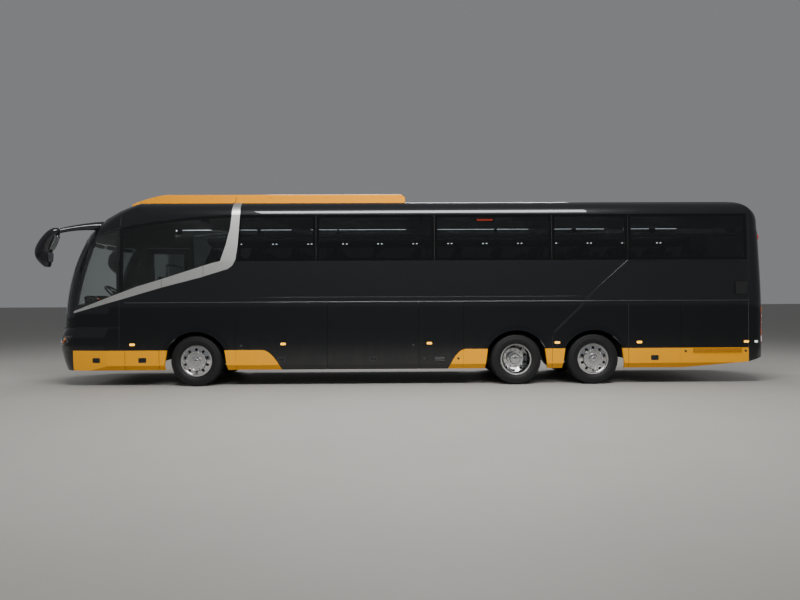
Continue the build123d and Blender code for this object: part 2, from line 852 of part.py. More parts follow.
# Mirrors: arm from the dome and a hanging head, sections as height, centre, half depth, half width
mirror_y = 1440
mirror_sections = [
    (2305, 6822, 34, 70),
    (2420, 6872, 112, 125),
    (2600, 6893, 148, 150),
    (2820, 6800, 140, 150),
    (2960, 6710, 112, 120),
    (3035, 6652, 56, 60),
]
arm_sections = [((5960, 930, 3130), 95, 70), ((6300, 1180, 3085), 60, 50), ((6620, 1415, 2985), 45, 40)]
with BuildPart() as mirrors:
    with BuildPart(mode=Mode.PRIVATE) as head:
        for z, x, half_depth, half_span in mirror_sections:
            with BuildSketch(Plane.XY.offset(z)):
                with Locations((x, mirror_y)):
                    Ellipse(half_depth, half_span)
        loft()
    with BuildPart(mode=Mode.PRIVATE) as mirror_arm:
        for (x, y, z), tall, thick in arm_sections:
            with BuildSketch(Plane(origin=(x, y, z), z_dir=(660, 500, -145))):
                Ellipse(thick, tall)
        loft()
    with BuildPart(mode=Mode.PRIVATE) as left_mirror:
        add(head.part)
        add(mirror_arm.part)
        add(outer_seat_form, mode=Mode.SUBTRACT)
    add(left_mirror.part)
    add(mirror(left_mirror.part, about=Plane.XZ, mode=Mode.PRIVATE))
mirrors.part.label = "mirrors"
export_step(mirrors.part, "parts/mirrors.step")

# Side marker lamps on the fixed panels
marker_x = {1: (5312, -2864, -4457), -1: (4890, -2864, -4457)}
with BuildPart() as marker_lamps:
    for side in (1, -1):
        with Locations(*[(x, side * (half_width + seat + 6), 815) for x in marker_x[side]]):
            Box(100, 12, 42)
    fillet(marker_lamps.edges().filter_by(Axis.Y), 18)
marker_lamps.part.label = "marker_lamps"
export_step(marker_lamps.part, "parts/marker_lamps.step")

# Wheel housings: liner over each wheel, upright inner wall and a raised lip round the arch
lip_reach = arch_half_width + lip_width
with BuildPart() as wheel_housings:
    for side in (1, -1):
        for axle_x in axles:
            outer_y = half_width - wall - seat
            with BuildSketch(Plane.XZ.offset(-side * liner_y)):
                with Locations((axle_x, tyre_radius)):
                    Circle(liner_radius + liner_wall)
                    Circle(liner_radius, mode=Mode.SUBTRACT)
                with Locations((axle_x, 0)):
                    Rectangle(3 * liner_radius, 2 * tyre_radius, mode=Mode.SUBTRACT)
            extrude(amount=-side * (outer_y - liner_y))
            with BuildSketch(Plane.XZ.offset(-side * liner_y)):
                with Locations((axle_x, tyre_radius)):
                    Circle(liner_radius + liner_wall)
                with Locations((axle_x, 0)):
                    Rectangle(3 * liner_radius, 2 * rail_top_z, mode=Mode.SUBTRACT)
            extrude(amount=side * liner_wall)
            # Lip on the flank round the arch
            with BuildSketch(Plane.XZ.offset(-side * (half_width + seat))):
                with BuildLine():
                    ThreePointArc(
                        (axle_x + lip_reach, arch_shoulder_z),
                        (axle_x, arch_top_z + lip_width),
                        (axle_x - lip_reach, arch_shoulder_z),
                    )
                    Line((axle_x - lip_reach, arch_shoulder_z), (axle_x + lip_reach, arch_shoulder_z))
                make_face()
                add(arch_outline(axle_x), mode=Mode.SUBTRACT)
            extrude(amount=-side * lip_height)
wheel_housings.part.label = "wheel_housings"
export_step(wheel_housings.part, "parts/wheel_housings.step")

# Floors: stepped saloon deck, cab floor and the two stairwells, as plates set a hair apart
stair_sheet = 30
cab_stair_y = 450
aisle_going = 280
aisle_step = 10


def slab(x, y, z):
    """Box between two values of each coordinate."""
    with Locations((min(x), min(y), min(z))):
        Box(max(x) - min(x), max(y) - min(y), max(z) - min(z), align=Align.MIN)


def stair(x, low_z, high_z, rises, inner_y):
    """Treads and risers that climb from the right doorway towards the aisle."""
    going = (cabin_half_width - inner_y) / rises
    rise = (high_z - low_z) / rises
    for step in range(rises):
        y = -cabin_half_width + going * step
        z = low_z + rise * step
        riser_y = y + going - stair_sheet
        slab(x, (y, riser_y - seat), (z - stair_sheet, z))
        slab(x, (riser_y, y + going - seat), (z - stair_sheet, z + rise))


deck_end_x = deck_front_x - deck_sheet - seat
mid_well = (mid_door[0] - stair_sheet, mid_door[1] + stair_sheet)
entry_well = (entry_door[0] - door_gap, entry_door[1] + door_gap)
cab_floor = (cab_floor_z - deck_sheet, cab_floor_z)
decks = [(deck_rear_x, deck_end_x, 1), (deck_rear_x, mid_well[0] - seat, -1), (mid_well[1] + seat, deck_end_x, -1)]
with BuildPart() as passenger_deck:
    for rear, front, side in decks:
        with BuildSketch(Plane.YZ.offset(rear)):
            with BuildLine():
                Polyline(
                    (side * cabin_half_width, deck_z),
                    (side * aisle_half_width, deck_z),
                    (side * aisle_half_width, aisle_z - deck_sheet),
                    (side * (aisle_half_width + deck_sheet), aisle_z - deck_sheet),
                    (side * (aisle_half_width + deck_sheet), deck_z - deck_sheet),
                    (side * cabin_half_width, deck_z - deck_sheet),
                    close=True,
                )
            make_face()
        extrude(amount=front - rear)
    aisle = (seat - aisle_half_width, aisle_half_width - seat)
    slab((deck_rear_x, deck_end_x), aisle, (aisle_z - deck_sheet, aisle_z))
    for well_x, door_x in zip(mid_well, mid_door):
        slab((well_x, door_x), (-cabin_half_width, -aisle_half_width), (bay_floor_z - stair_sheet, deck_z))
    stair((mid_door[0] + seat, mid_door[1] - seat), bay_floor_z, aisle_z, 4, aisle_half_width)
    # Cab floor round its stairwell, front bulkhead and the steps up to the aisle
    slab((deck_front_x, nose_x), (-cab_stair_y, cabin_half_width), cab_floor)
    slab((entry_well[1], nose_x), (-cabin_half_width, -cab_stair_y - seat), cab_floor)
    slab((deck_front_x, entry_well[0]), (-cabin_half_width, -cab_stair_y - seat), cab_floor)
    stair((entry_well[0] + seat, entry_well[1] - seat), bay_floor_z, cab_floor_z, 3, cab_stair_y)
    for side in (1, -1):
        slab(
            (deck_front_x - deck_sheet, deck_front_x - seat),
            (side * aisle_half_width, side * cabin_half_width),
            (cab_floor_z - deck_sheet, deck_z),
        )
    upper_step_x = deck_front_x + aisle_step
    slab((deck_front_x - deck_sheet, upper_step_x), aisle, (cab_floor_z + seat, aisle_z))
    slab((upper_step_x + seat, upper_step_x + aisle_going), aisle, (cab_floor_z + seat, (cab_floor_z + aisle_z) / 2))
    add(cabin_form, mode=Mode.INTERSECT)
passenger_deck.part.label = "passenger_deck"
export_step(passenger_deck.part, "parts/passenger_deck.step")

# Underframe: luggage bay floor, bulkheads, rails with crossmembers, posts, pads and the towing tube
bulkhead = 30
post_width = 70
jack_x = (3480, -1500, -4400)
bumper_beam_x = 6310
bumper_beam_z = 440
rear_rail_end = -6900
deck_post_x = (-2825, -4400, -5200)
cab_post_x = (4760, 6230)
crossmember_x = (6200, 4780, 3420, -1400, -2825, -4400, -6860)
crossmember_width = 80
socket_x = 6700
socket_radius = 16
under_deck_z = deck_z - deck_sheet - seat
under_aisle_z = aisle_z - deck_sheet - seat
under_cab_z = cab_floor_z - deck_sheet - seat
trough_half_width = aisle_half_width + deck_sheet + seat
bay_sill = (bay_floor_z - bulkhead, bay_floor_z)
bay_floor_rear_x = mid_door[1] + 60
middle_bulkhead_x = bay_rear_x - bulkhead / 2
rail_inner_y = rail_y - rail_width / 2 - seat
beam_x = (bumper_beam_x - crossmember_width / 2, bumper_beam_x + crossmember_width / 2)
with BuildPart() as underframe:
    slab((bay_floor_rear_x, bay_front_x + bulkhead), (-cabin_half_width, cabin_half_width), bay_sill)
    slab((service_rear_x, bay_floor_rear_x - seat), (0, cabin_half_width), bay_sill)
    for x in (bay_front_x, middle_bulkhead_x):
        slab(
            (x, x + bulkhead),
            (seat - trough_half_width, trough_half_width - seat),
            (bay_floor_z + seat, under_aisle_z),
        )
    for side in (1, -1):
        outer = side * cabin_half_width
        for x in (bay_front_x, middle_bulkhead_x):
            slab((x, x + bulkhead), (side * trough_half_width, outer), (bay_floor_z + seat, under_deck_z))
        slab((bay_middle_x - 30, bay_middle_x + 30), (outer - side * 80, outer), (bay_floor_z + seat, under_deck_z))
        rail = (side * (rail_y - rail_width / 2), side * (rail_y + rail_width / 2))
        rear_rail_front = middle_bulkhead_x if side > 0 else mid_well[0]
        slab((bay_front_x + bulkhead + seat, beam_x[0] - seat), rail, (rail_bottom_z, rail_top_z))
        slab((rear_rail_end, rear_rail_front - seat), rail, (rail_bottom_z, rail_top_z))
        for posts, head_z in ((deck_post_x, under_deck_z), (cab_post_x, under_cab_z)):
            for x in posts:
                slab((x - post_width / 2, x + post_width / 2), rail, (rail_top_z + seat, head_z))
        for x in jack_x:
            pad = (side * (rail_y - 60), side * (rail_y + 60))
            slab((x - 60, x + 60), pad, (rail_bottom_z - 30, rail_bottom_z - seat))
    for x in crossmember_x:
        web = (x - crossmember_width / 2, x + crossmember_width / 2)
        slab(web, (-rail_inner_y, rail_inner_y), (rail_bottom_z + 20, rail_top_z - 20))
    slab(beam_x, (-850, 850), (bumper_beam_z, rail_top_z))
    with BuildSketch(Plane.YZ.offset(beam_x[1] + seat)):
        with Locations((tow_y, tow_z)):
            Circle(34)
    extrude(amount=socket_x - beam_x[1] - seat)
    with BuildSketch(Plane.YZ.offset(socket_x - 120)):
        with Locations((tow_y, tow_z)):
            Circle(socket_radius)
    extrude(amount=240, mode=Mode.SUBTRACT)
underframe.part.label = "underframe"
export_step(underframe.part, "parts/underframe.step")

# Engine and gearbox as one block on the rear rails
engine_x = -6150
engine_bottom_z = 520
with BuildPart() as engine_block:
    with Locations((engine_x, 0, engine_bottom_z)):
        Box(1250, 2 * rail_y - rail_width - 20, 800, align=(Align.CENTER, Align.CENTER, Align.MIN))
        fillet(engine_block.edges().filter_by(Axis.X), 60)
    for x in (engine_x - 450, engine_x + 450):
        with Locations((x, 0, rail_top_z + seat)):
            Box(120, 2 * rail_y + rail_width, 60, align=(Align.CENTER, Align.CENTER, Align.MIN))
engine_block.part.label = "engine_block"
export_step(engine_block.part, "parts/engine_block.step")

# Seats: one profile per pair, extruded across, on pedestals
seat_width = 900
driver_x = 5150
driver_y = 480
driver_width = 520
seat_profile = [
    (-60, 0),
    (-60, 300),
    (-90, 330),
    (-130, 420),
    (-330, 1080),
    (-300, 1150),
    (-200, 1150),
    (-150, 1080),
    (20, 480),
    (330, 500),
    (380, 460),
    (370, 370),
    (160, 340),
    (120, 0),
]
with BuildPart() as seats:
    for row in range(seat_rows):
        x = seat_front_x - row * seat_pitch
        for side in (1, -1):
            if side < 0 and mid_door[0] - 450 < x < mid_door[1] + 450:
                continue
            with BuildSketch(Plane.XZ.offset(-side * (aisle_half_width + 30))):
                Polygon(*[(x + dx, deck_z + seat + dz) for dx, dz in seat_profile], align=None)
            extrude(amount=-side * seat_width)
    with BuildSketch(Plane.XZ.offset(-driver_y)):
        Polygon(*[(driver_x + dx, cab_floor_z + seat + dz) for dx, dz in seat_profile], align=None)
    extrude(amount=-driver_width)
seats.part.label = "seats"
export_step(seats.part, "parts/seats.step")

# Overhead racks against the flanks
rack_front_x = 4500
rack_rear_x = -6400
rack_profile = [(780, 2985), (1000, 2900), (1400, 2860), (1400, 2910), (1010, 2950), (830, 3030), (800, 3060)]
with BuildPart() as luggage_racks:
    with BuildSketch(Plane.YZ.offset(rack_rear_x)):
        with BuildLine():
            Polyline(*rack_profile)
            ThreePointArc(rack_profile[-1], (768, 3030), rack_profile[0])
        make_face()
    extrude(amount=rack_front_x - rack_rear_x)
    mirror(about=Plane.XZ)
    add(cabin_form, mode=Mode.INTERSECT)
luggage_racks.part.label = "luggage_racks"
export_step(luggage_racks.part, "parts/luggage_racks.step")

# Dashboard with the steering column and wheel
steering_y = driver_y + driver_width / 2
steering_plane = Plane(origin=(5880, steering_y, 1790), z_dir=(-0.66, 0, 0.75))
dash_right_y = -450
with BuildPart() as dashboard:
    with BuildSketch(Plane.XZ.offset(-dash_right_y)):
        Polygon(
            (6300, cab_floor_z + seat),
            (6560, cab_floor_z + seat),
            (6700, 1450),
            (6640, 1540),
            (6180, 1630),
            (6090, 1570),
            (6180, 1450),
            (6300, 1300),
            align=None,
        )
    extrude(amount=dash_right_y - cabin_half_width)
    with BuildSketch(steering_plane):
        Circle(28)
    extrude(amount=-460)
    with BuildSketch(steering_plane):
        Circle(70)
        Rectangle(440, 36)
    extrude(amount=20)
    with Locations(steering_plane.offset(14)):
        Torus(225, 17)
    add(cabin_form, mode=Mode.INTERSECT)
dashboard.part.label = "dashboard"
export_step(dashboard.part, "parts/dashboard.step")


def turned(points, axle_x, centre_y, side):
    """Revolve a profile of offsets along the axle and radii about a wheel's axis."""
    with BuildPart() as ring:
        with BuildSketch(Plane.YX):
            Polygon(*[(side * (centre_y + offset), axle_x + radius) for offset, radius in points], align=None)
        revolve(axis=Axis((axle_x, 0, 0), (0, 1, 0)))
    return ring.part.moved(Location((0, 0, tyre_radius)))


# Steered axle beams with forked air-spring carriers
beam_half = 45
eye_radius = 50
eye_half_height = 58
bellows_radius = 95
spring_x = 270


def spring_carriers(axle_x, top_z):
    """Lengthwise carriers across an axle with an air spring at each end, up to the rails."""
    with BuildPart() as carriers:
        for side in (1, -1):
            with Locations((axle_x, side * rail_y, top_z - 50)):
                Box(2 * spring_x + 150, 90, 50, align=(Align.CENTER, Align.CENTER, Align.MIN))
            for end in (1, -1):
                with BuildSketch(Plane.XY.offset(top_z)):
                    with Locations((axle_x + end * spring_x, side * rail_y)):
                        Circle(bellows_radius)
                extrude(amount=rail_bottom_z - seat - top_z)
    return carriers.part


with BuildPart() as steered_axle_beams:
    for axle_x in (front_axle_x, tag_axle_x):
        with Locations((axle_x, 0, tyre_radius)):
            Box(2 * beam_half, 2 * (kingpin_y - eye_radius + 12), 2 * beam_half)
        for side in (1, -1):
            with Locations((axle_x, side * kingpin_y, tyre_radius)):
                Cylinder(eye_radius, 2 * eye_half_height)
                Cylinder(kingpin_radius + seat, 4 * eye_half_height, mode=Mode.SUBTRACT)
        add(spring_carriers(axle_x, tyre_radius + beam_half + 20))
steered_axle_beams.part.label = "steered_axle_beams"
export_step(steered_axle_beams.part, "parts/steered_axle_beams.step")

# Drive axle: tubes and a banjo housing with a cover
drive_spindle_radius = 60
drive_spindle_end = 20
drive_axle_profile = [
    (0, 0),
    (0, 210),
    (60, 205),
    (190, 120),
    (260, 75),
    (620, 75),
    (620, drive_spindle_radius),
    (wheel_y + drive_spindle_end, drive_spindle_radius),
    (wheel_y + drive_spindle_end, 0),
]
with BuildPart() as drive_axle:
    for side in (1, -1):
        add(turned(drive_axle_profile, drive_axle_x, 0, side))
    add(spring_carriers(drive_axle_x, tyre_radius + beam_half + 20))
drive_axle.part.label = "drive_axle"
export_step(drive_axle.part, "parts/drive_axle.step")

# Knuckles: two lugs on a kingpin, an upright web and the wheel spindle
lug_gap = 1
lug_height = 36
web_y = 58
web_thickness = 28
spindle_end = 108
corners = [
    ("front_left", front_axle_x, 1),
    ("front_right", front_axle_x, -1),
    ("tag_left", tag_axle_x, 1),
    ("tag_right", tag_axle_x, -1),
]
for name, axle_x, side in corners:
    with BuildPart() as knuckle:
        lug_z = eye_half_height + lug_gap
        with Locations((axle_x, side * kingpin_y, tyre_radius)):
            Cylinder(kingpin_radius, 2 * (lug_z + lug_height))
        for level in (1, -1):
            with BuildSketch(Plane.XY.offset(tyre_radius + level * lug_z)):
                with Locations((axle_x, side * kingpin_y)):
                    Circle(eye_radius)
                with Locations((axle_x, side * (kingpin_y + (web_y + web_thickness) / 2))):
                    Rectangle(2 * eye_radius, web_y + web_thickness)
            extrude(amount=level * lug_height)
        with Locations((axle_x, side * (kingpin_y + web_y + web_thickness / 2), tyre_radius)):
            Box(2 * eye_radius, web_thickness, 2 * (lug_z + lug_height))
        with BuildSketch(Plane.XZ.offset(-side * (kingpin_y + web_y))):
            with Locations((axle_x, tyre_radius)):
                Circle(spindle_radius)
        extrude(amount=-side * (wheel_y + spindle_end - kingpin_y - web_y))
    knuckle.part.label = "knuckle_" + name
    export_step(knuckle.part, "parts/knuckle_" + name + ".step")


barrel_profile = [
    (-barrel_half_width - flange_thickness, flange_radius),
    (-barrel_half_width, flange_radius),
    (-barrel_half_width, barrel_radius),
    (barrel_half_width, barrel_radius),
    (barrel_half_width, flange_radius),
    (barrel_half_width + flange_thickness, flange_radius),
    (barrel_half_width + flange_thickness, barrel_radius - barrel_wall),
    (-barrel_half_width - flange_thickness, barrel_radius - barrel_wall),
]
convex_disc_profile = [
    (96, barrel_radius - 5),
    (112, barrel_radius - 5),
    (124, 240),
    (136, 200),
    (150, 190),
    (150, hub_radius - 15),
    (134, hub_radius - 15),
    (134, 186),
    (122, 192),
    (110, 232),
    (96, 262),
]
steered_hub_profile = [
    (14, spindle_radius + seat),
    (14, hub_radius + 10),
    (34, hub_radius + 10),
    (34, hub_radius),
    (168, hub_radius - 8),
    (182, hub_radius - 22),
    (182, 0),
    (spindle_end + 6, 0),
    (spindle_end + 6, spindle_radius + seat),
]
disc_reach = twin_spacing / 2
dished_disc_profile = [
    (-disc_reach, 110),
    (-disc_reach, 200),
    (-disc_reach + 10, 215),
    (-100, barrel_radius - 5),
    (-84, barrel_radius - 5),
    (-disc_reach + 24, 210),
    (-disc_reach + 14, 196),
    (-disc_reach + 14, 110),
]
drive_hub_profile = [
    (-disc_reach - 110, drive_spindle_radius + seat),
    (-disc_reach - 110, 120),
    (-disc_reach + 14, 120),
    (-disc_reach + 40, 118),
    (drive_spindle_end + 10, 105),
    (drive_spindle_end + 24, 92),
    (drive_spindle_end + 24, 0),
    (drive_spindle_end + 6, 0),
    (drive_spindle_end + 6, drive_spindle_radius + seat),
]
tyre_profile = [
    (-barrel_half_width + seat, barrel_radius + seat),
    (-barrel_half_width + seat, flange_radius + 2),
    (-barrel_half_width - flange_thickness, flange_radius + 6),
    (-tyre_half_width + 4, 350),
    (-tyre_half_width, 395),
    (-tyre_half_width + 8, 450),
    (-tyre_half_width + 28, tyre_radius - 8),
    (-tyre_half_width + 42, tyre_radius),
    (tyre_half_width - 42, tyre_radius),
    (tyre_half_width - 28, tyre_radius - 8),
    (tyre_half_width - 8, 450),
    (tyre_half_width, 395),
    (tyre_half_width - 4, 350),
    (barrel_half_width + flange_thickness, flange_radius + 6),
    (barrel_half_width - seat, flange_radius + 2),
    (barrel_half_width - seat, barrel_radius + seat),
]

# Wheels: name, axle, side, twin
wheels = [(name, axle_x, side, False) for name, axle_x, side in corners]
wheels += [("drive_left", drive_axle_x, 1, True), ("drive_right", drive_axle_x, -1, True)]
for name, axle_x, side, twin in wheels:
    with BuildPart() as tyre:
        add(turned(tyre_profile, axle_x, wheel_y, side))
        if twin:
            add(turned(tyre_profile, axle_x, wheel_y - twin_spacing, side))
    tyre.part.label = "tyre_" + name
    export_step(tyre.part, "parts/tyre_" + name + ".step")

    with BuildPart() as rim:
        add(turned(barrel_profile, axle_x, wheel_y, side))
        if twin:
            add(turned(barrel_profile, axle_x, wheel_y - twin_spacing, side))
            add(turned(dished_disc_profile, axle_x, wheel_y, side))
            inner_disc = [(-offset, radius) for offset, radius in dished_disc_profile]
            add(turned(inner_disc, axle_x, wheel_y - twin_spacing, side))
            add(turned(drive_hub_profile, axle_x, wheel_y, side))
        else:
            add(turned(convex_disc_profile, axle_x, wheel_y, side))
            add(turned(steered_hub_profile, axle_x, wheel_y, side))
        hole_ring = 235 if twin else 222
        hole_start_y = wheel_y - 250 if twin else wheel_y + 60
        with BuildSketch(Plane(origin=(axle_x, side * hole_start_y, tyre_radius), z_dir=(0, side, 0))):
            with PolarLocations(hole_ring, hand_holes):
                Circle(hand_hole_radius)
        extrude(amount=200, mode=Mode.SUBTRACT)
    rim.part.label = "rim_" + name
    export_step(rim.part, "parts/rim_" + name + ".step")

# Wipers parked along the foot of the windscreen
with BuildPart() as wipers:
    for y in (-560, 480):
        with BuildPart(mode=Mode.PRIVATE) as wiper:
            with BuildSketch(Plane.YZ.offset(mask_edge_x)):
                with Locations((y, screen_bottom_z + 60)):
                    Rectangle(860, 22)
                with Locations((y - 120, screen_bottom_z + 10)):
                    Rectangle(26, 110)
            extrude(amount=nose_x)
            add(sash_form, mode=Mode.INTERSECT)
            add(outer_seat_form, mode=Mode.SUBTRACT)
        add(wiper.part)
wipers.part.label = "wipers"
export_step(wipers.part, "parts/wipers.step")
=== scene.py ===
"""Looks of a three-axle touring coach, built round the CAD frame. X forward, Y left, Z up, in metres."""

import math
from functools import partial

import bmesh
import bpy
from mathutils import Matrix, Vector
from mathutils.bvhtree import BVHTree


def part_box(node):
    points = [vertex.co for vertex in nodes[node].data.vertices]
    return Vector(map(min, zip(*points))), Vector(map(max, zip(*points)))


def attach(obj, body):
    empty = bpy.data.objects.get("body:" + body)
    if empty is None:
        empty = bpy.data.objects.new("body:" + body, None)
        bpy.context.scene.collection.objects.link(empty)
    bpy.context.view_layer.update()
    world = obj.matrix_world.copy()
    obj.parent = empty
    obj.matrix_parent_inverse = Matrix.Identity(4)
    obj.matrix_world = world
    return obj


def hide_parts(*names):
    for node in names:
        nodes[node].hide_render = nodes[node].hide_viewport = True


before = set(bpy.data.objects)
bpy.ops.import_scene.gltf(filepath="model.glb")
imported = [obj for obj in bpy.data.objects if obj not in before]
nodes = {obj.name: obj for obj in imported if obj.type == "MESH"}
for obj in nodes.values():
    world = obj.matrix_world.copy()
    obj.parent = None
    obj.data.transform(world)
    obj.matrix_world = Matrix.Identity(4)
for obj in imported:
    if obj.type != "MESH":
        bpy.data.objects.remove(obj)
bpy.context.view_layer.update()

# Body lines
HALF_WIDTH = 1.275
SKIRT_TOP_Z = 0.70
REAR_EDGE_X = -6.6
AXLE_Z = 0.49
FRONT_AXLE_X = 4.105
DRIVE_AXLE_X = -2.075
TAG_AXLE_X = -3.575
WHEEL_Y = 1.09
TWIN_SPACING = 0.33
DECK_Z = 1.55
AISLE_Z = 1.38
CAB_FLOOR_Z = 1.0
SIDES = {"left": 1, "right": -1}

# The skirt's yellow ends behind the front wheel and starts again before the drive wheel, in parabolas
FRONT_YELLOW_X = 2.845
FRONT_YELLOW_FALL = 2.5
REAR_YELLOW_X = -1.10
REAR_YELLOW_FALL = 3.2

# Colours, linear
BLACK = (0.0045, 0.005, 0.006)
YELLOW = (0.80, 0.335, 0.0)
# Darker copy of the skirt's yellow for the same paint on the roof fairing: painted shade
SHADED_FAIRING_YELLOW = (0.60, 0.225, 0.0)
LINING = (0.30, 0.30, 0.29)
DUST = (0.16, 0.14, 0.115)
# Weight of the clear coat over the yellow, which is flatter than the black
YELLOW_GLOSS = 0.3

# Camera of the photograph: focal length in pixels of an 800 pixel wide picture, place and turn
FOCAL_PIXELS = 601.0
PICTURE_WIDTH = 800.0
SENSOR_WIDTH = 36.0
CAMERA_PLACE = (0.305, 12.858, 1.65)
CAMERA_YAW = 0.0114
CAMERA_ROLL = -0.0046


# Wiring of node trees


class Net:
    """Wires a node tree towards its end node; each call gives back the output that the next one takes."""

    def __init__(self, tree, end):
        self.tree = tree
        self.end = end

    def add(self, kind, inputs, output=0, **settings):
        """Inputs maps a socket's name or number to a value or to the output that feeds it."""
        made = self.tree.nodes.new(kind)
        for key, value in settings.items():
            setattr(made, key, value)
        for key, value in inputs.items():
            if isinstance(value, bpy.types.NodeSocket):
                self.tree.links.new(value, made.inputs[key])
            else:
                made.inputs[key].default_value = value
        return made.outputs if output is None else made.outputs[output]

    def feed(self, **sources):
        for label, source in sources.items():
            self.tree.links.new(source, self.end.inputs[label.replace("_", " ")])

    def place(self, output="Object"):
        return self.add("ShaderNodeTexCoord", {}, output)

    def axis(self, number):
        return self.add("ShaderNodeSeparateXYZ", {0: self.place()}, number)

    def calc(self, operation, *values):
        return self.add("ShaderNodeMath", dict(enumerate(values)), operation=operation)

    def vector(self, operation, first, second, output=0):
        return self.add("ShaderNodeVectorMath", {0: first, 1: second}, output, operation=operation)

    def noise(self, scale, detail, roughness=0.5, place=None):
        place = self.place() if place is None else place
        inputs = {"Vector": place, "Scale": scale, "Detail": detail, "Roughness": roughness}
        return self.add("ShaderNodeTexNoise", inputs, "Fac")

    def cells(self, scale, randomness=1.0, **settings):
        inputs = {"Vector": self.place(), "Scale": scale, "Randomness": randomness}
        return self.add("ShaderNodeTexVoronoi", inputs, "Distance", **settings)

    def spread(self, value, low, high, start=0.0, end=1.0):
        """Value from start to end, brought to low to high."""
        inputs = {"Value": value, "From Min": start, "From Max": end, "To Min": low, "To Max": high}
        return self.add("ShaderNodeMapRange", inputs)

    def mix(self, mask, *colours):
        first, second = (c if isinstance(c, bpy.types.NodeSocket) else (*c, 1.0) for c in colours)
        return self.add("ShaderNodeMix", {0: mask, 6: first, 7: second}, 2, data_type="RGBA")

    def group(self, tree, **inputs):
        return self.add("ShaderNodeGroup", inputs, None, node_tree=tree)

    def surface(self, tone, rough, height, depth):
        relief = self.add("ShaderNodeBump", {"Height": height, "Distance": depth})
        self.feed(Base_Color=tone, Roughness=rough, Normal=relief)


# Shader groups


def shader_group(name, *outputs, **inputs):
    """Makes a shader node group of the function below it, which wires its inputs to its outputs."""

    def build(wire):
        tree = bpy.data.node_groups.new(name, "ShaderNodeTree")
        for label, value in inputs.items():
            kind = "NodeSocketVector" if isinstance(value, tuple) else "NodeSocketFloat"
            socket = tree.interface.new_socket(label.replace("_", " "), in_out="INPUT", socket_type=kind)
            socket.default_value = value
        for label in outputs:
            tree.interface.new_socket(label, in_out="OUTPUT", socket_type="NodeSocketFloat")
        net = Net(tree, tree.nodes.new("NodeGroupOutput"))
        net.feed(**wire(net, tree.nodes.new("NodeGroupInput").outputs))
        return tree

    return build


@shader_group("lacquer_skin", "Height", "Roughness", Peel_Scale=160.0, Haze=0.05)
def lacquer(net, given):
    """Orange peel of a sprayed surface and the faint haze of washing, for paint."""
    haze = net.calc("MULTIPLY", net.noise(3.5, 6.0, 0.6), given["Haze"])
    return {"Height": net.noise(given["Peel Scale"], 2.0), "Roughness": haze}


@shader_group("road_dust", "Mask", Top=0.9, Amount=0.5, Grain=9.0)
def dust(net, given):
    """Road dust that thins out with height and gathers in streaks."""
    streaks = net.add("ShaderNodeMapping", {"Vector": net.place(), "Scale": (1.0, 1.0, 0.35)})
    patch = net.spread(net.noise(given["Grain"], 7.0, 0.62, streaks), 0.0, 1.0, 0.38, 0.72)
    low = net.spread(net.axis(2), 0.0, 1.0, given["Top"], 0.1)
    return {"Mask": net.calc("MULTIPLY", net.calc("MULTIPLY", low, patch), given["Amount"])}


@shader_group("moulded_grain", "Height", "Shade", Scale=420.0, Tone=0.1)
def grain(net, given):
    """Moulded grain of plastic and rubber."""
    low, high = (net.calc(operation, 1.0, given["Tone"]) for operation in ("SUBTRACT", "ADD"))
    return {"Height": net.cells(given["Scale"]), "Shade": net.spread(net.noise(6.0, 5.0), low, high)}


@shader_group("brushed_lines", "Height", "Shade", Stretch=(1.0, 90.0, 90.0), Scale=8.0)
def brushed(net, given):
    """Fine lines of brushed metal; the stretch says which way they run."""
    drawn = net.vector("MULTIPLY", net.place(), given["Stretch"])
    lines = net.noise(given["Scale"], 4.0, 0.7, drawn)
    return {"Height": lines, "Shade": net.spread(lines, 0.82, 1.12)}


@shader_group("scuffs", "Mask", Scale=14.0, Amount=0.4)
def scuffs(net, given):
    """Patches of wear: rubbed spots and thin scratches."""
    rubbed = net.spread(net.noise(given["Scale"], 9.0, 0.7), 0.0, 1.0, 0.56, 0.74)
    return {"Mask": net.calc("MULTIPLY", rubbed, given["Amount"])}


@shader_group("moquette_weave", "Height", "Shade", "Check", Threads=900.0)
def weave(net, given):
    """Threads of a moquette: crossing ribs, a soft fleck and small squares."""
    x, y, z = (net.calc("SINE", net.calc("MULTIPLY", net.axis(i), given["Threads"])) for i in range(3))
    fleck = net.noise(260.0, 2.0)
    ribs = net.calc("MULTIPLY", net.calc("ADD", x, z), y)
    check = net.calc("LESS_THAN", net.cells(34.0, distance="CHEBYCHEV"), 0.22)
    return {"Height": net.calc("ADD", ribs, fleck), "Shade": net.spread(fleck, 0.7, 1.3), "Check": check}


@shader_group("skirt_band", "Mask")
def skirt(net, _):
    """One where the skirt is yellow: below its top line and outside the black middle, with parabolic ends."""
    x = net.axis(0)
    drops = []
    for ahead, behind, fall in ((FRONT_YELLOW_X, x, FRONT_YELLOW_FALL), (x, REAR_YELLOW_X, REAR_YELLOW_FALL)):
        past = net.calc("MAXIMUM", net.calc("SUBTRACT", ahead, behind), 0.0)
        drops.append(net.calc("MULTIPLY", net.calc("POWER", past, 2.0), fall))
    edge = net.calc("SUBTRACT", SKIRT_TOP_Z, net.calc("MINIMUM", *drops))
    return {"Mask": net.calc("LESS_THAN", net.axis(2), edge)}


@shader_group("inward_face", "Mask")
def inside(net, _):
    """One on faces that look towards the cabin's axis, so that a wall has its lining inside."""
    core_x = net.add("ShaderNodeClamp", {0: net.axis(0), "Min": -6.3, "Max": 5.6})
    core_z = net.add("ShaderNodeClamp", {0: net.axis(2), "Min": 1.2, "Max": 2.6})
    core = net.add("ShaderNodeCombineXYZ", {0: core_x, 1: 0.0, 2: core_z})
    from_core = net.vector("SUBTRACT", net.place(), core)
    outward = net.vector("DOT_PRODUCT", net.place("Normal"), from_core, "Value")
    return {"Mask": net.calc("LESS_THAN", outward, -0.02)}


# Finishes


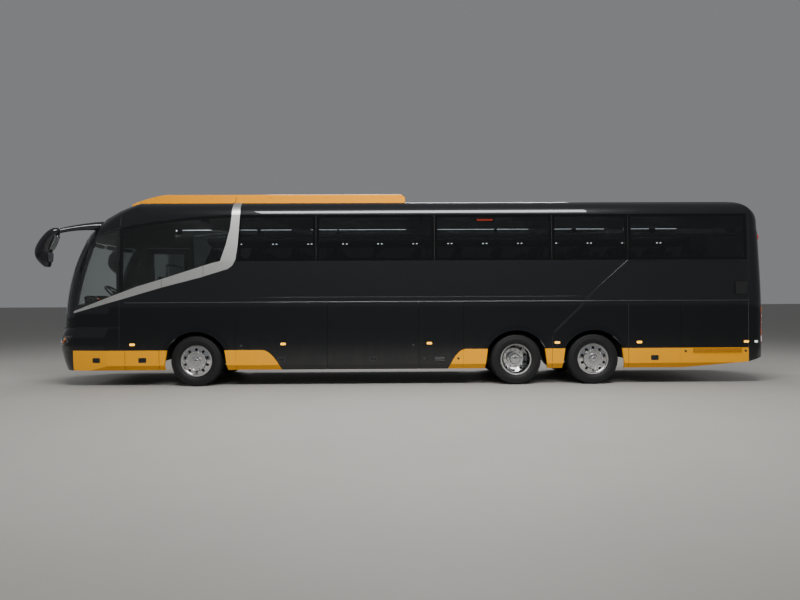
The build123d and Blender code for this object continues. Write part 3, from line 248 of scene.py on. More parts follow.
def new_material(name, **sockets):
    """A material with these plain values on its Principled shader, and the wiring towards the shader."""
    material = bpy.data.materials.new(name)
    material.use_nodes = True
    shader = next(n for n in material.node_tree.nodes if n.type == "BSDF_PRINCIPLED")
    for socket, value in sockets.items():
        shader.inputs[socket.replace("_", " ")].default_value = value
    return material, Net(material.node_tree, shader)


def paint(name, colour, banded=False, lined=True, dirt=0.06, gloss=1.0):
    """Two-coat paint: lacquer over colour, dust low down, a trim lining on the faces that look inside."""
    material, net = new_material(name, Coat_Roughness=0.03, Coat_IOR=1.5, Specular_IOR_Level=0.15)
    tone, shine = colour, gloss
    if banded:
        band = net.group(skirt)["Mask"]
        tone, shine = net.mix(band, colour, YELLOW), net.spread(band, gloss, YELLOW_GLOSS)
    film = net.group(dust, Top=1.1, Amount=dirt)["Mask"]
    skin = net.group(lacquer, Haze=0.10)
    tone = net.mix(film, tone, DUST)
    rough = net.calc("ADD", net.calc("ADD", skin["Roughness"], 0.28), film)
    coat = net.calc("SUBTRACT", shine, film)
    if lined:
        inner = net.group(inside)["Mask"]
        tone = net.mix(inner, tone, LINING)
        rough = net.calc("MAXIMUM", rough, net.calc("MULTIPLY", inner, 0.8))
        coat = net.calc("MULTIPLY", coat, net.calc("SUBTRACT", 1.0, inner))
    net.surface(tone, rough, skin["Height"], 0.00004)
    net.feed(Coat_Weight=coat)
    return material


def plastic(name, colour, roughness=0.5, scale=420.0, depth=0.00012):
    """Moulded plastic or rubber with a grain and a slight cloudiness."""
    material, net = new_material(name, Specular_IOR_Level=0.5)
    moulding = net.group(grain, Scale=scale, Tone=0.14)
    worn = net.calc("MULTIPLY", net.group(scuffs, Amount=0.25)["Mask"], 0.35)
    tone = net.vector("MULTIPLY", colour, moulding["Shade"])
    net.surface(tone, net.calc("ADD", worn, roughness), moulding["Height"], depth)
    return material


def metal(name, colour, roughness, stretch=(1.0, 60.0, 60.0), scale=8.0, depth=0.00003, dirt=0.0, wear=0.3):
    """Brushed or polished metal; the stretch says which way its lines run."""
    material, net = new_material(name, Metallic=1.0)
    lines = net.group(brushed, Stretch=stretch, Scale=scale)
    tone = net.vector("MULTIPLY", colour, lines["Shade"])
    worn = net.calc("MULTIPLY", net.group(scuffs, Scale=26.0, Amount=wear)["Mask"], 0.3)
    rough = net.calc("ADD", worn, roughness)
    if dirt:
        film = net.group(dust, Top=1.0, Amount=dirt, Grain=16.0)["Mask"]
        tone = net.mix(film, tone, DUST)
        rough = net.calc("MAXIMUM", rough, net.calc("MULTIPLY", film, 0.9))
    net.surface(tone, rough, lines["Height"], depth)
    return material


def chassis_paint(name, colour, dirt=0.7):
    """Satin paint on castings and rails, with rough casting skin, dust and rubbed spots."""
    material, net = new_material(name, Specular_IOR_Level=0.4)
    casting = net.group(grain, Scale=150.0, Tone=0.2)
    worn = net.group(scuffs, Scale=18.0, Amount=0.6)["Mask"]
    film = net.group(dust, Top=1.5, Amount=dirt)["Mask"]
    tone = net.mix(worn, net.vector("MULTIPLY", colour, casting["Shade"]), (0.10, 0.075, 0.055))
    net.surface(net.mix(film, tone, DUST), net.spread(film, 0.55, 0.92), casting["Height"], 0.0005)
    return material


def side_glass():
    """Body-tinted glass: clearest beside the driver, darkest along the saloon, with a faint film."""
    plain = {"Roughness": 0.02, "IOR": 1.5, "Transmission_Weight": 1.0, "Specular_IOR_Level": 0.5}
    material, net = new_material("side_glass_tint", **plain)
    saloon = net.calc("LESS_THAN", net.axis(0), 3.3)
    cab = net.calc("GREATER_THAN", net.axis(0), 5.555)
    tone = net.mix(saloon, (0.26, 0.285, 0.28), (0.11, 0.125, 0.13))
    net.feed(Base_Color=net.mix(cab, tone, (0.74, 0.78, 0.76)))
    net.feed(Roughness=net.spread(net.noise(2.2, 6.0, 0.65), 0.0, 0.035))
    return material


def lens(name, colour, glow=0.0, pitch=260.0, roughness=0.06, clear=0.0):
    """Moulded lamp lens with small prisms; lit ones glow."""
    plain = {"IOR": 1.49, "Transmission_Weight": clear, "Emission_Strength": glow, "Specular_IOR_Level": 0.6}
    material, net = new_material(name, **plain)
    prisms = net.cells(pitch, 0.0, distance="CHEBYCHEV")
    tinted = net.vector("MULTIPLY", colour, net.spread(prisms, 1.15, 0.75))
    if glow:
        net.feed(Emission_Color=tinted)
    net.surface(tinted, net.spread(prisms, roughness, roughness + 0.1), prisms, 0.0006)
    return material


def moquette(name, colour, fleck):
    """Seat cloth: woven ribs, flecks and small squares of the second colour."""
    material, net = new_material(name, Sheen_Weight=0.35, Sheen_Roughness=0.4, Specular_IOR_Level=0.2)
    cloth = net.group(weave)
    tone = net.mix(cloth["Check"], net.vector("MULTIPLY", colour, cloth["Shade"]), fleck)
    net.surface(tone, net.spread(cloth["Check"], 0.92, 0.8), cloth["Height"], 0.0005)
    return material


def vinyl_floor(name, colour):
    """Flecked sheet flooring."""
    material, net = new_material(name, Specular_IOR_Level=0.4)
    flecks = net.cells(130.0)
    worn = net.group(scuffs, Scale=7.0, Amount=0.35)["Mask"]
    tone = net.mix(net.calc("LESS_THAN", flecks, 0.16), colour, (0.32, 0.32, 0.33))
    net.surface(net.mix(worn, tone, (0.17, 0.16, 0.15)), net.spread(worn, 0.45, 0.75), flecks, 0.0003)
    return material


def arch_liner():
    """Matt moulding inside the arch, lacquered lip outside the flank."""
    material, net = new_material("arch_liner_plastic", Specular_IOR_Level=0.5)
    lip = net.calc("GREATER_THAN", net.calc("ABSOLUTE", net.axis(1)), HALF_WIDTH - 0.001)
    moulding = net.group(grain, Scale=120.0, Tone=0.2)
    film = net.group(dust, Top=1.2, Amount=0.3)["Mask"]
    tone = net.mix(film, net.vector("MULTIPLY", (0.012, 0.012, 0.012), moulding["Shade"]), DUST)
    relief = net.calc("MULTIPLY", moulding["Height"], net.calc("SUBTRACT", 1.0, lip))
    net.surface(net.mix(lip, tone, BLACK), net.spread(lip, 0.7, 0.16), relief, 0.0005)
    return material


def tyre_rubber():
    """Tyre rubber: matt, greyed tread, dusty flanks."""
    material, net = new_material("tyre_rubber", Specular_IOR_Level=0.35)
    moulding = net.group(grain, Scale=240.0, Tone=0.2)
    worn = net.group(scuffs, Scale=11.0, Amount=0.55)["Mask"]
    tone = net.vector("MULTIPLY", (0.006, 0.006, 0.0065), moulding["Shade"])
    tone = net.mix(worn, tone, (0.017, 0.016, 0.015))
    net.surface(tone, net.spread(worn, 0.62, 0.9), moulding["Height"], 0.0004)
    return material


MATERIALS = {
    "body": paint("body_black_lacquer", BLACK, banded=True),
    "mask": paint("nose_black_lacquer", BLACK),
    "trim_paint": paint("trim_black_lacquer", BLACK, lined=False),
    "roof": paint("roof_black_lacquer", BLACK, dirt=0.0),
    # The fairing's yellow is darkened against the skirt's: painted shade
    "fairing": paint("fairing_yellow_lacquer", SHADED_FAIRING_YELLOW, lined=False, dirt=0.0, gloss=YELLOW_GLOSS),
    "skirt_paint": paint("skirt_yellow_lacquer", YELLOW, lined=False, gloss=YELLOW_GLOSS),
    "sash": metal("sash_brushed_silver", (0.95, 0.94, 0.92), 0.36, (60.0, 60.0, 1.0), wear=0.04),
    "waist": metal("waist_rail_dark_anodised", (0.20, 0.20, 0.21), 0.3, wear=0.05),
    "rail": metal("rail_satin_aluminium", (0.72, 0.73, 0.75), 0.2, dirt=0.1),
    "alloy": metal("wheel_polished_alloy", (0.66, 0.66, 0.665), 0.10, (3.0, 3.0, 3.0), scale=14.0, dirt=0.10),
    "nut": metal("nut_plated_steel", (0.70, 0.71, 0.73), 0.18, (20.0, 20.0, 20.0)),
    "steel": metal("handrail_stainless", (0.66, 0.67, 0.68), 0.22),
    "mirror": metal("mirror_silvering", (0.90, 0.91, 0.92), 0.02, scale=2.0, depth=0.0),
    "reflector": metal("lamp_reflector", (0.92, 0.92, 0.93), 0.08, scale=3.0, depth=0.0),
    "glass": side_glass(),
    "clear_lens": lens("headlamp_cover", (0.97, 0.98, 1.0), pitch=24.0, roughness=0.01, clear=1.0),
    "amber_lens": lens("marker_amber_lens", (1.0, 0.47, 0.02), glow=2.4),
    "red_lens": lens("tail_red_lens", (0.55, 0.008, 0.008), glow=0.15, pitch=180.0),
    "white_lens": lens("reversing_white_lens", (0.86, 0.87, 0.88), glow=0.6, pitch=180.0),
    "turn_lens": lens("indicator_amber_lens", (0.80, 0.22, 0.01), glow=0.1, pitch=180.0),
    "light_strip": lens("cabin_light_strip", (0.95, 0.97, 1.0), glow=8.0, pitch=90.0),
    "sign": lens("cabin_red_sign", (1.0, 0.09, 0.04), glow=2.6, pitch=60.0),
    "black_plastic": plastic("trim_black_plastic", (0.022, 0.022, 0.023), 0.48),
    "gloss_plastic": plastic("shell_gloss_black", (0.012, 0.012, 0.014), 0.12, scale=60.0, depth=0.00002),
    "cab_plastic": plastic("cab_soft_plastic", (0.045, 0.045, 0.048), 0.6, depth=0.0002),
    "rack_plastic": plastic("rack_grey_plastic", (0.33, 0.33, 0.325), 0.55, depth=0.0001),
    "seat_shell": plastic("seat_shell_plastic", (0.05, 0.05, 0.053)),
    "liner": arch_liner(),
    "rubber": plastic("gasket_rubber", (0.014, 0.014, 0.014), 0.55, scale=300.0),
    "screen": plastic("instrument_screen", (0.01, 0.012, 0.016), 0.08, scale=40.0, depth=0.0),
    "plate": plastic("blank_plate", (0.80, 0.80, 0.78), 0.3, scale=90.0, depth=0.00005),
    "frame": chassis_paint("frame_satin_black", (0.030, 0.030, 0.031)),
    "axle": chassis_paint("axle_cast_iron", (0.042, 0.042, 0.044)),
    "engine": chassis_paint("engine_casting", (0.115, 0.118, 0.12), dirt=0.35),
    "arm": chassis_paint("door_arm_satin", (0.06, 0.06, 0.062), dirt=0.1),
    "floor": vinyl_floor("deck_flecked_vinyl", (0.085, 0.088, 0.095)),
    "tyre": tyre_rubber(),
    "cloth": moquette("seat_moquette", (0.035, 0.042, 0.065), (0.10, 0.115, 0.16)),
    "edge_strip": plastic("step_edge_strip", (0.50, 0.34, 0.03), 0.6, scale=240.0),
    "headrest": moquette("headrest_cloth", (0.06, 0.06, 0.065), (0.09, 0.09, 0.10)),
}

# Wheels: axle's x, side, twin tyres
WHEELS = {
    "front_left": (FRONT_AXLE_X, 1, False),
    "front_right": (FRONT_AXLE_X, -1, False),
    "tag_left": (TAG_AXLE_X, 1, False),
    "tag_right": (TAG_AXLE_X, -1, False),
    "drive_left": (DRIVE_AXLE_X, 1, True),
    "drive_right": (DRIVE_AXLE_X, -1, True),
}
FLAPS = [f"bay_door_{side}_{end}" for side in SIDES for end in ("front", "rear")]
FLAPS += ["service_door_left", "engine_side_door_left", "engine_side_door_right"]
LEAVES = ["entry_door_leaf", "mid_door_leaf"]
LEAF_GLASS = ["entry_door_glass", "mid_door_glass"]
HATCHES = ["roof_hatch_1", "roof_hatch_2"]
KNUCKLES = [f"knuckle_{wheel}" for wheel, (_, _, twin) in WHEELS.items() if not twin]

CAD_FINISHES = {
    "body": ["side_wall_left", "side_wall_right", *FLAPS, *LEAVES],
    "mask": ["front_mask", "rear_wall", "engine_lid"],
    "roof": ["roof_shell", *HATCHES],
    "fairing": ["roof_fairing"],
    "sash": ["window_sashes"],
    "waist": ["waist_rails"],
    "glass": ["windscreen", "window_panes", "rear_window", *LEAF_GLASS],
    "clear_lens": ["headlamps"],
    "red_lens": ["tail_lamps"],
    "amber_lens": ["marker_lamps"],
    "gloss_plastic": ["mirrors"],
    "cab_plastic": ["dashboard"],
    "black_plastic": ["wipers"],
    "rack_plastic": ["luggage_racks"],
    "cloth": ["seats"],
    "floor": ["passenger_deck"],
    "frame": ["underframe"],
    "engine": ["engine_block"],
    "axle": ["steered_axle_beams", "drive_axle", *KNUCKLES],
    "liner": ["wheel_housings"],
    "arm": ["entry_door_arm", "mid_door_arm"],
    "tyre": [f"tyre_{wheel}" for wheel in WHEELS],
    "alloy": [f"rim_{wheel}" for wheel in WHEELS],
}
for finish, names in CAD_FINISHES.items():
    for name in names:
        nodes[name].data.materials.clear()
        nodes[name].data.materials.append(MATERIALS[finish])


# Shapes: lists of corners and of faces, in metres


def joined(*shapes):
    verts, faces = [], []
    for shape_verts, shape_faces in shapes:
        start = len(verts)
        verts += list(shape_verts)
        faces += [tuple(i + start for i in face) for face in shape_faces]
    return verts, faces


def moved(shape, matrix):
    return [matrix @ Vector(v) for v in shape[0]], shape[1]


def shifted(shape, offset):
    return moved(shape, Matrix.Translation(offset))


def shape_of(mesh):
    return [v.co.copy() for v in mesh.vertices], [tuple(p.vertices) for p in mesh.polygons]


def from_bmesh(bm):
    bm.verts.index_update()
    shape = [v.co.copy() for v in bm.verts], [tuple(v.index for v in f.verts) for f in bm.faces]
    bm.free()
    return shape


def axes(origin, first, second, third):
    """Matrix that carries a shape's X, Y and Z along these directions."""
    return Matrix.Translation(origin) @ Matrix((first, second, third)).transposed().to_4x4()


# Stands a shape made on the plane Y = 0 upright
UPRIGHT = Matrix.Rotation(math.pi / 2, 4, "X")


def block(low, high, chamfer):
    """Box between two corners with chamfered edges."""
    bm = bmesh.new()
    bmesh.ops.create_cube(bm, size=1.0)
    middle = (Vector(low) + Vector(high)) / 2
    size = Vector(high) - Vector(low)
    for vert in bm.verts:
        vert.co = middle + vert.co * size
    bmesh.ops.bevel(bm, geom=bm.edges[:], offset=chamfer, segments=1, affect="EDGES")
    return from_bmesh(bm)


def rounded(width, height, radius, steps=4):
    """Corners of a rounded rectangle about the origin, anticlockwise."""
    outline = []
    for turn, (right, up) in enumerate(((1, 1), (-1, 1), (-1, -1), (1, -1))):
        for step in range(steps + 1):
            angle = math.pi / 2 * (turn + step / steps)
            x = right * (width / 2 - radius) + radius * math.cos(angle)
            outline.append((x, up * (height / 2 - radius) + radius * math.sin(angle)))
    return outline


def skinned(loops, ring=False):
    """Skin over loops of equal counts, capped at both ends, or with the last loop joined to the first."""
    count, rows = len(loops[0]), len(loops)
    faces = []
    for row in range(rows if ring else rows - 1):
        low, high = row * count, (row + 1) % rows * count
        for i in range(count):
            j = (i + 1) % count
            faces.append((low + i, low + j, high + j, high + i))
    if not ring:
        faces += [tuple(range(count)), tuple(reversed(range((rows - 1) * count, rows * count)))]
    return [corner for loop in loops for corner in loop], faces


def stacked(layers, ring=False):
    """Skin over outlines one above the other along Y: (y, [(x, z), ...])."""
    return skinned([[(x, y, z) for x, z in outline] for y, outline in layers], ring)


def pillow(width, height, radius, thickness, edge):
    """Rounded plate on the plane Y = 0 with a softened front edge."""
    outline = rounded(width, height, radius)
    face = rounded(width - 2 * edge, height - 2 * edge, max(radius - edge, 0.0005))
    return stacked([(0.0, outline), (thickness - edge, outline), (thickness, face)])


def frame_ring(width, height, radius, border, thickness):
    """Rounded frame of a border's width, on the plane Y = 0."""
    outer = rounded(width, height, radius)
    inner = rounded(width - 2 * border, height - 2 * border, max(radius - border, 0.001))
    return stacked([(0.0, outer), (thickness, outer), (thickness, inner), (0.0, inner)], ring=True)


def turned(profile, sides, closed=True):
    """Profile of (offset along Y, radius) revolved about the Y axis; radius zero makes a pole."""
    verts, loops = [], []
    for offset, radius in profile:
        angles = [2 * math.pi * i / sides for i in range(sides if radius else 1)]
        loops.append([len(verts) + i % len(angles) for i in range(sides)])
        verts += [(radius * math.cos(a), offset, radius * math.sin(a)) for a in angles]
    faces = []
    for low, high in zip(loops, loops[1:] + (loops[:1] if closed else [])):
        for i in range(sides):
            j = (i + 1) % sides
            corners = tuple(dict.fromkeys((low[i], low[j], high[j], high[i])))
            if len(corners) > 2:
                faces.append(corners)
    return verts, faces


def capped(profile, sides):
    """Turned solid whose profile starts and ends at the axis."""
    return turned(profile, sides, closed=False)


def swept(path, section, closed=False, upright=None):
    """Section of (across, out) carried along a path; upright gives the outward direction at each point."""
    path = [Vector(p) for p in path]
    loops = []
    out = None
    for i, point in enumerate(path):
        ahead = path[(i + 1) % len(path)] if closed or i + 1 < len(path) else point
        behind = path[i - 1] if closed or i else point
        along = (ahead - behind).normalized()
        if upright:
            out = Vector(upright[i])
        elif out is None:
            out = along.orthogonal()
        out = (out - along * out.dot(along)).normalized()
        across = out.cross(along)
        loops.append([point + across * u + out * v for u, v in section])
    return skinned(loops, closed)


def tube(path, radius, sides):
    angles = [2 * math.pi * i / sides for i in range(sides)]
    return swept(path, [(radius * math.cos(a), radius * math.sin(a)) for a in angles])


# Meshes and pieces


def linked(name, data):
    """New object in the scene, at the origin."""
    made = bpy.data.objects.new(name, data)
    bpy.context.scene.collection.objects.link(made)
    return made


def plain_mesh(name, verts, faces):
    mesh = bpy.data.meshes.new(name)
    mesh.from_pydata([tuple(v) for v in verts], [], faces)
    return mesh


class Piece:
    """A piece of the coach's dress: shapes with their finishes, joined in one mesh that rides on a body."""

    def __init__(self, name):
        self.name = name
        self.shape = [], []
        self.finishes = []
        self.marks = []

    def add(self, shape, finish, place=None):
        if place is not None:
            shape = moved(shape, place)
        if finish not in self.finishes:
            self.finishes.append(finish)
        self.shape = joined(self.shape, shape)
        self.marks += [self.finishes.index(finish)] * len(shape[1])
        return self

    def mesh(self, sharp=38.0):
        """One mesh, its faces turned outwards and shaded smooth up to an angle in degrees."""
        mesh = plain_mesh(self.name, *self.shape)
        for finish in self.finishes:
            mesh.materials.append(MATERIALS[finish])
        mesh.polygons.foreach_set("material_index", self.marks)
        bm = bmesh.new()
        bm.from_mesh(mesh)
        bmesh.ops.recalc_face_normals(bm, faces=bm.faces)
        bm.to_mesh(mesh)
        bm.free()
        mesh.shade_smooth()
        mesh.set_sharp_from_angle(angle=math.radians(sharp))
        return mesh

    def ride(self, body="chassis", *replaced, sharp=38.0):
        made = linked(self.name, self.mesh(sharp))
        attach(made, body)
        if replaced:
            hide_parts(*replaced)
        return made


# Geometry Nodes trees that repeat a shape


def repeat_tree(name, arrange, **inputs):
    """Tree that realizes what arrange makes of its inputs, and gives it the finish."""
    tree = bpy.data.node_groups.new(name, "GeometryNodeTree")
    tree.interface.new_socket("Geometry", in_out="OUTPUT", socket_type="NodeSocketGeometry")
    for label, kind in {"Geometry": "Geometry", **inputs, "Finish": "Material"}.items():
        label = label.replace("_", " ")
        tree.interface.new_socket(label, in_out="INPUT", socket_type=f"NodeSocket{kind}")
    net = Net(tree, tree.nodes.new("NodeGroupOutput"))
    given = tree.nodes.new("NodeGroupInput").outputs
    solid = net.add("GeometryNodeRealizeInstances", {"Geometry": arrange(net, given)})
    net.feed(Geometry=net.add("GeometryNodeSetMaterial", {"Geometry": solid, "Material": given["Finish"]}))
    return tree


def in_line(net, geometry, count, step):
    points = net.add("GeometryNodeMeshLine", {"Count": count, "Offset": step}, mode="OFFSET")
    return net.add("GeometryNodeInstanceOnPoints", {"Points": points, "Instance": geometry})


def in_row(net, given):
    return in_line(net, given["Geometry"], given["Count"], given["Step"])


def in_grid(net, given):
    row = in_line(net, given["Geometry"], given["Columns"], given["Column Step"])
    solid = net.add("GeometryNodeRealizeInstances", {"Geometry": row})
    return in_line(net, solid, given["Rows"], given["Row Step"])


def round_axis(net, given):
    spot = in_line(net, given["Geometry"], given["Count"], (0.0, 0.0, 0.0))
    share = net.calc("DIVIDE", net.add("GeometryNodeInputIndex", {}), given["Count"])
    angle = net.calc("MULTIPLY", share, 2 * math.pi)
    turn = net.add("ShaderNodeVectorMath", {0: given["Axis"], "Scale": angle}, operation="SCALE")
    inputs = {"Instances": spot, "Rotation": turn, "Pivot Point": given["Centre"], "Local Space": False}
    return net.add("GeometryNodeRotateInstances", inputs)


ROW = repeat_tree("row_of_pieces", in_row, Count="Int", Step="Vector")
GRID = repeat_tree(
    "grid_of_pieces", in_grid, Columns="Int", Column_Step="Vector", Rows="Int", Row_Step="Vector"
)
RING = repeat_tree("ring_of_pieces", round_axis, Count="Int", Axis="Vector", Centre="Vector")


def repeated(shape, finish, tree, **values):
    """Shape that the tree makes of a shape."""
    item = linked("repeated_item", Piece("repeated_item").add(shape, finish).mesh())
    modifier = item.modifiers.new("repeat", "NODES")
    modifier.node_group = tree
    values["Finish"] = MATERIALS[finish]
    for socket in tree.interface.items_tree:
        if socket.in_out == "INPUT" and socket.name.replace(" ", "_") in values:
            modifier[socket.identifier] = values[socket.name.replace(" ", "_")]
    depsgraph = bpy.context.evaluated_depsgraph_get()
    made = bpy.data.meshes.new_from_object(item.evaluated_get(depsgraph), depsgraph=depsgraph)
    bpy.data.objects.remove(item)
    return shape_of(made)


# The body's skin, probed on the CAD panels


def surface_of(*names):
    """Surface of CAD nodes, for rays."""
    return BVHTree.FromPolygons(*joined(*(shape_of(nodes[name].data) for name in names)))


SKIN = surface_of(
    *("side_wall_left", "side_wall_right", "front_mask", "rear_wall", "engine_lid", "roof_shell"),
    *("roof_fairing", "window_panes", "rear_window", "windscreen", "headlamps", "tail_lamps"),
    *(*LEAVES, *LEAF_GLASS, *HATCHES, *FLAPS),
)
# Widest joint between panels that a ray can slip into
GAP = 0.012


def skin_hit(start, direction):
    """Point and outward normal where a ray meets the skin; in a panel gap the skin beside it counts."""
    start, direction = Vector(start), Vector(direction)
    aside = direction.orthogonal().normalized() * GAP
    over = direction.cross(aside)
    hits = []
    for nudge in (Vector((0, 0, 0)), aside, -aside, over, -over):
        place, normal, _, reach = SKIN.ray_cast(start + nudge, direction)
        if place is not None:
            hits.append((reach, place - nudge, normal))
    nearest = min(hits, key=lambda hit: hit[0])
    _, place, normal = nearest if hits[0][0] > nearest[0] + GAP else hits[0]
    return place, -normal if normal.dot(direction) > 0 else normal


def flank(x, z, side=1):
    return skin_hit((x, side * 2.2, z), (0, -side, 0))


def nose(y, z):
    return skin_hit((9.0, y, z), (-1, 0, 0))


def tail(y, z):
    return skin_hit((-9.0, y, z), (1, 0, 0))


def top(x, y):
    return skin_hit((x, y, 5.0), (0, 0, -1))


def ceiling(x, y):
    return skin_hit((x, y, 2.6), (0, 0, 1))


def facing(hit, up=(0, 0, 1)):
    """Matrix that stands a shape made on the plane Y = 0 on the skin, its Y outwards."""
    place, normal = hit
    along = Vector(normal).cross(Vector(up)).normalized()
    return axes(place, along, normal, along.cross(normal))


def on_roof(x, y):
    return facing(top(x, y), up=(1, 0, 0))


def bead(width, height, sink=0.003):
    """Section of a strip that lies on the skin."""
    half = width / 2
    left = [(-half, -sink), (-half, height * 0.5), (-half * 0.6, height)]
    return left + [(-x, z) for x, z in reversed(left)]


def band(width, low, high):
    """Flat section of a strip, between two heights over the skin."""
    return [(-width / 2, low), (-width / 2, high), (width / 2, high), (width / 2, low)]


def laid(hits, section, closed=False):
    return swept([place for place, _ in hits], section, closed, [normal for _, normal in hits])


def strip(points, section, probe, step=0.15, closed=False):
    """Strip laid on the skin along a polyline in the probe's two coordinates, probed at each step."""
    points = [Vector(p) for p in points]
    spots = []
    for start, end in zip(points, points[1:] + (points[:1] if closed else [])):
        count = max(1, math.ceil((end - start).length / step))
        spots += [start.lerp(end, i / count) for i in range(count)]
    if not closed:
        spots.append(points[-1])
    return laid([probe(*spot) for spot in spots], section, closed)


# Camera, lights and floor


def aimed(thing, place, turn):
    thing.location = place
    thing.rotation_mode = "QUATERNION"
    thing.rotation_quaternion = turn


def make_camera():
    data = bpy.data.cameras.new("photo_camera")
    data.sensor_width = SENSOR_WIDTH
    data.lens = FOCAL_PIXELS / PICTURE_WIDTH * SENSOR_WIDTH
    data.clip_start = 0.05
    data.clip_end = 500.0
    forward = Vector((-math.sin(CAMERA_YAW), -math.cos(CAMERA_YAW), 0.0))
    roll = Matrix.Rotation(CAMERA_ROLL, 3, "Z").to_quaternion()
    camera = linked("photo_camera", data)
    aimed(camera, CAMERA_PLACE, forward.to_track_quat("-Z", "Y") @ roll)
    bpy.context.scene.camera = camera


# Soft boxes: place, aim, size, power, seen in reflections
LIGHTS = {
    "overhead_left": ((-0.5, 6.5, 7.5), (0.0, 0.6, 1.5), (10.0, 2.2), 1350.0, True),
    "overhead_right": ((-0.5, -6.5, 7.5), (0.0, -0.6, 1.5), (10.0, 2.2), 850.0, True),
    "overhead_middle": ((0.0, 0.0, 9.0), (0.0, 0.0, 0.0), (14.0, 3.0), 320.0, False),
    "nose_fill": ((15.0, 3.0, 4.0), (5.0, 0.0, 1.5), (4.0, 3.0), 420.0, False),
    "tail_fill": ((-15.0, 3.0, 4.0), (-5.0, 0.0, 1.5), (4.0, 3.0), 380.0, False),
}
FLOOR_REACH = 160.0


def make_lights():
    for name, (place, aim, size, power, mirrored) in LIGHTS.items():
        data = bpy.data.lights.new(name, "AREA")
        data.shape = "RECTANGLE"
        data.size, data.size_y = size
        data.energy = power
        light = linked(name, data)
        aimed(light, place, (Vector(aim) - Vector(place)).to_track_quat("-Z", "Y"))
        light.visible_glossy = mirrored


def make_stage():
    """Pale floor and a soft sky."""
    corners = [(x * FLOOR_REACH, y * FLOOR_REACH, 0) for x, y in ((-1, -1), (1, -1), (1, 1), (-1, 1))]
    mesh = plain_mesh("studio_floor", corners, [(0, 1, 2, 3)])
    material, net = new_material("studio_floor_pale", Roughness=0.6, Specular_IOR_Level=0.3)
    cloud = net.spread(net.noise(1.3, 5.0), 0.96, 1.04)
    net.feed(Base_Color=net.vector("MULTIPLY", (0.33, 0.322, 0.30), cloud))
    mesh.materials.append(material)
    linked("studio_floor", mesh)

    world = bpy.data.worlds.new("studio_sky")
    world.use_nodes = True
    bpy.context.scene.world = world
    backdrop = next(n for n in world.node_tree.nodes if n.type == "BACKGROUND")
    backdrop.inputs["Color"].default_value = (0.80, 0.82, 0.85, 1.0)
    backdrop.inputs["Strength"].default_value = 0.26


make_camera()
make_lights()
make_stage()


# Flanks: seams, lines, beads, handles, lamps and vents

# Seams of the fixed panels: x, z at each end
REAR_SEAMS = [((-2.770, 0.33), (-2.770, 0.93)), ((-4.251, 0.33), (-4.251, 1.59))]
SEAMS = {
    "left": [
        ((5.454, 0.33), (5.454, 0.70)),
        ((5.561, 0.74), (5.561, 1.98)),
        ((6.45, 1.14), (5.561, 1.14)),
        ((4.802, 0.33), (4.802, 0.70)),
        *REAR_SEAMS,
    ],
    "right": [((4.802, 0.33), (4.802, 1.59)), *REAR_SEAMS],
}
# Top edge of the yellow skirt panels: from x to x
SKIRT_JOINTS = {
    "left": [(6.47, 4.70), (3.42, FRONT_YELLOW_X), (REAR_YELLOW_X, -1.46), (-4.18, -5.26)],
    "right": [(6.47, 6.02), (5.02, 4.70), (3.42, FRONT_YELLOW_X), (-4.18, -5.26)],
}
JOINT_Z = SKIRT_TOP_Z + 0.004
PANE_JOINTS = [5.555, 3.300, 1.787, -0.495, -2.768, -4.250]
PANE_FOOT_Z = 2.44
PANE_HEAD_Z = 3.285
# Folds pressed into the flank: their points and section
FOLDS = [
    ([(-4.25, 2.392), (-3.67, 1.88), (-3.42, 1.63)], (0.036, 0.007)),
    ([(-3.40, 1.59), (-3.28, 1.47), (-2.80, 1.01)], (0.036, 0.007)),
    ([(-4.27, 2.392), (-6.58, 2.392)], (0.018, 0.009)),
]
BELT_Z = 1.71
SASH_SEAM_X = (4.75, 3.95)


def lay_panel_lines(name, side):
    probe = partial(flank, side=side)
    lines = Piece(f"panel_seams_{name}")
    for seam in SEAMS[name]:
        lines.add(strip(seam, bead(0.007, 0.0012), probe, 0.04), "rubber")
    for start, end in SKIRT_JOINTS[name]:
        lines.add(strip([(start, JOINT_Z), (end, JOINT_Z)], bead(0.006, 0.0012), probe), "rubber")
    for x in PANE_JOINTS:
        if side > 0 or x < 5.0:
            lines.add(strip([(x, PANE_FOOT_Z), (x, PANE_HEAD_Z)], bead(0.012, 0.003, 0.006), probe), "rubber")
    lines.ride()

    folds = Piece(f"body_folds_{name}")
    for points, section in FOLDS:
        folds.add(strip(points, bead(*section), probe), "trim_paint")
    belt = [(5.40 if side > 0 else 4.98, BELT_Z), (-6.50, BELT_Z)]
    folds.add(strip(belt, bead(0.006, 0.0015), probe, 0.4), "trim_paint")
    folds.ride()


def abreast(surface, x, z):
    """Point and normal where a level ray from the left meets a surface."""
    return surface.ray_cast(Vector((x, 2.0, z)), Vector((0, -1, 0)))[:2]


def lay_sash_seams():
    """Seams of the sash on the left flank, from its lowest to its highest point."""
    sash = surface_of("window_sashes")
    seams = Piece("sash_seams")
    for x in SASH_SEAM_X:
        struck = [z for z in (step / 200 for step in range(280, 660)) if abreast(sash, x, z)[0] is not None]
        low, high = min(struck) + 0.004, max(struck) - 0.004
        hits = [abreast(sash, x, low + (high - low) * step / 6) for step in range(7)]
        seams.add(laid(hits, bead(0.005, 0.0008, 0.001)), "rubber")
    seams.ride()


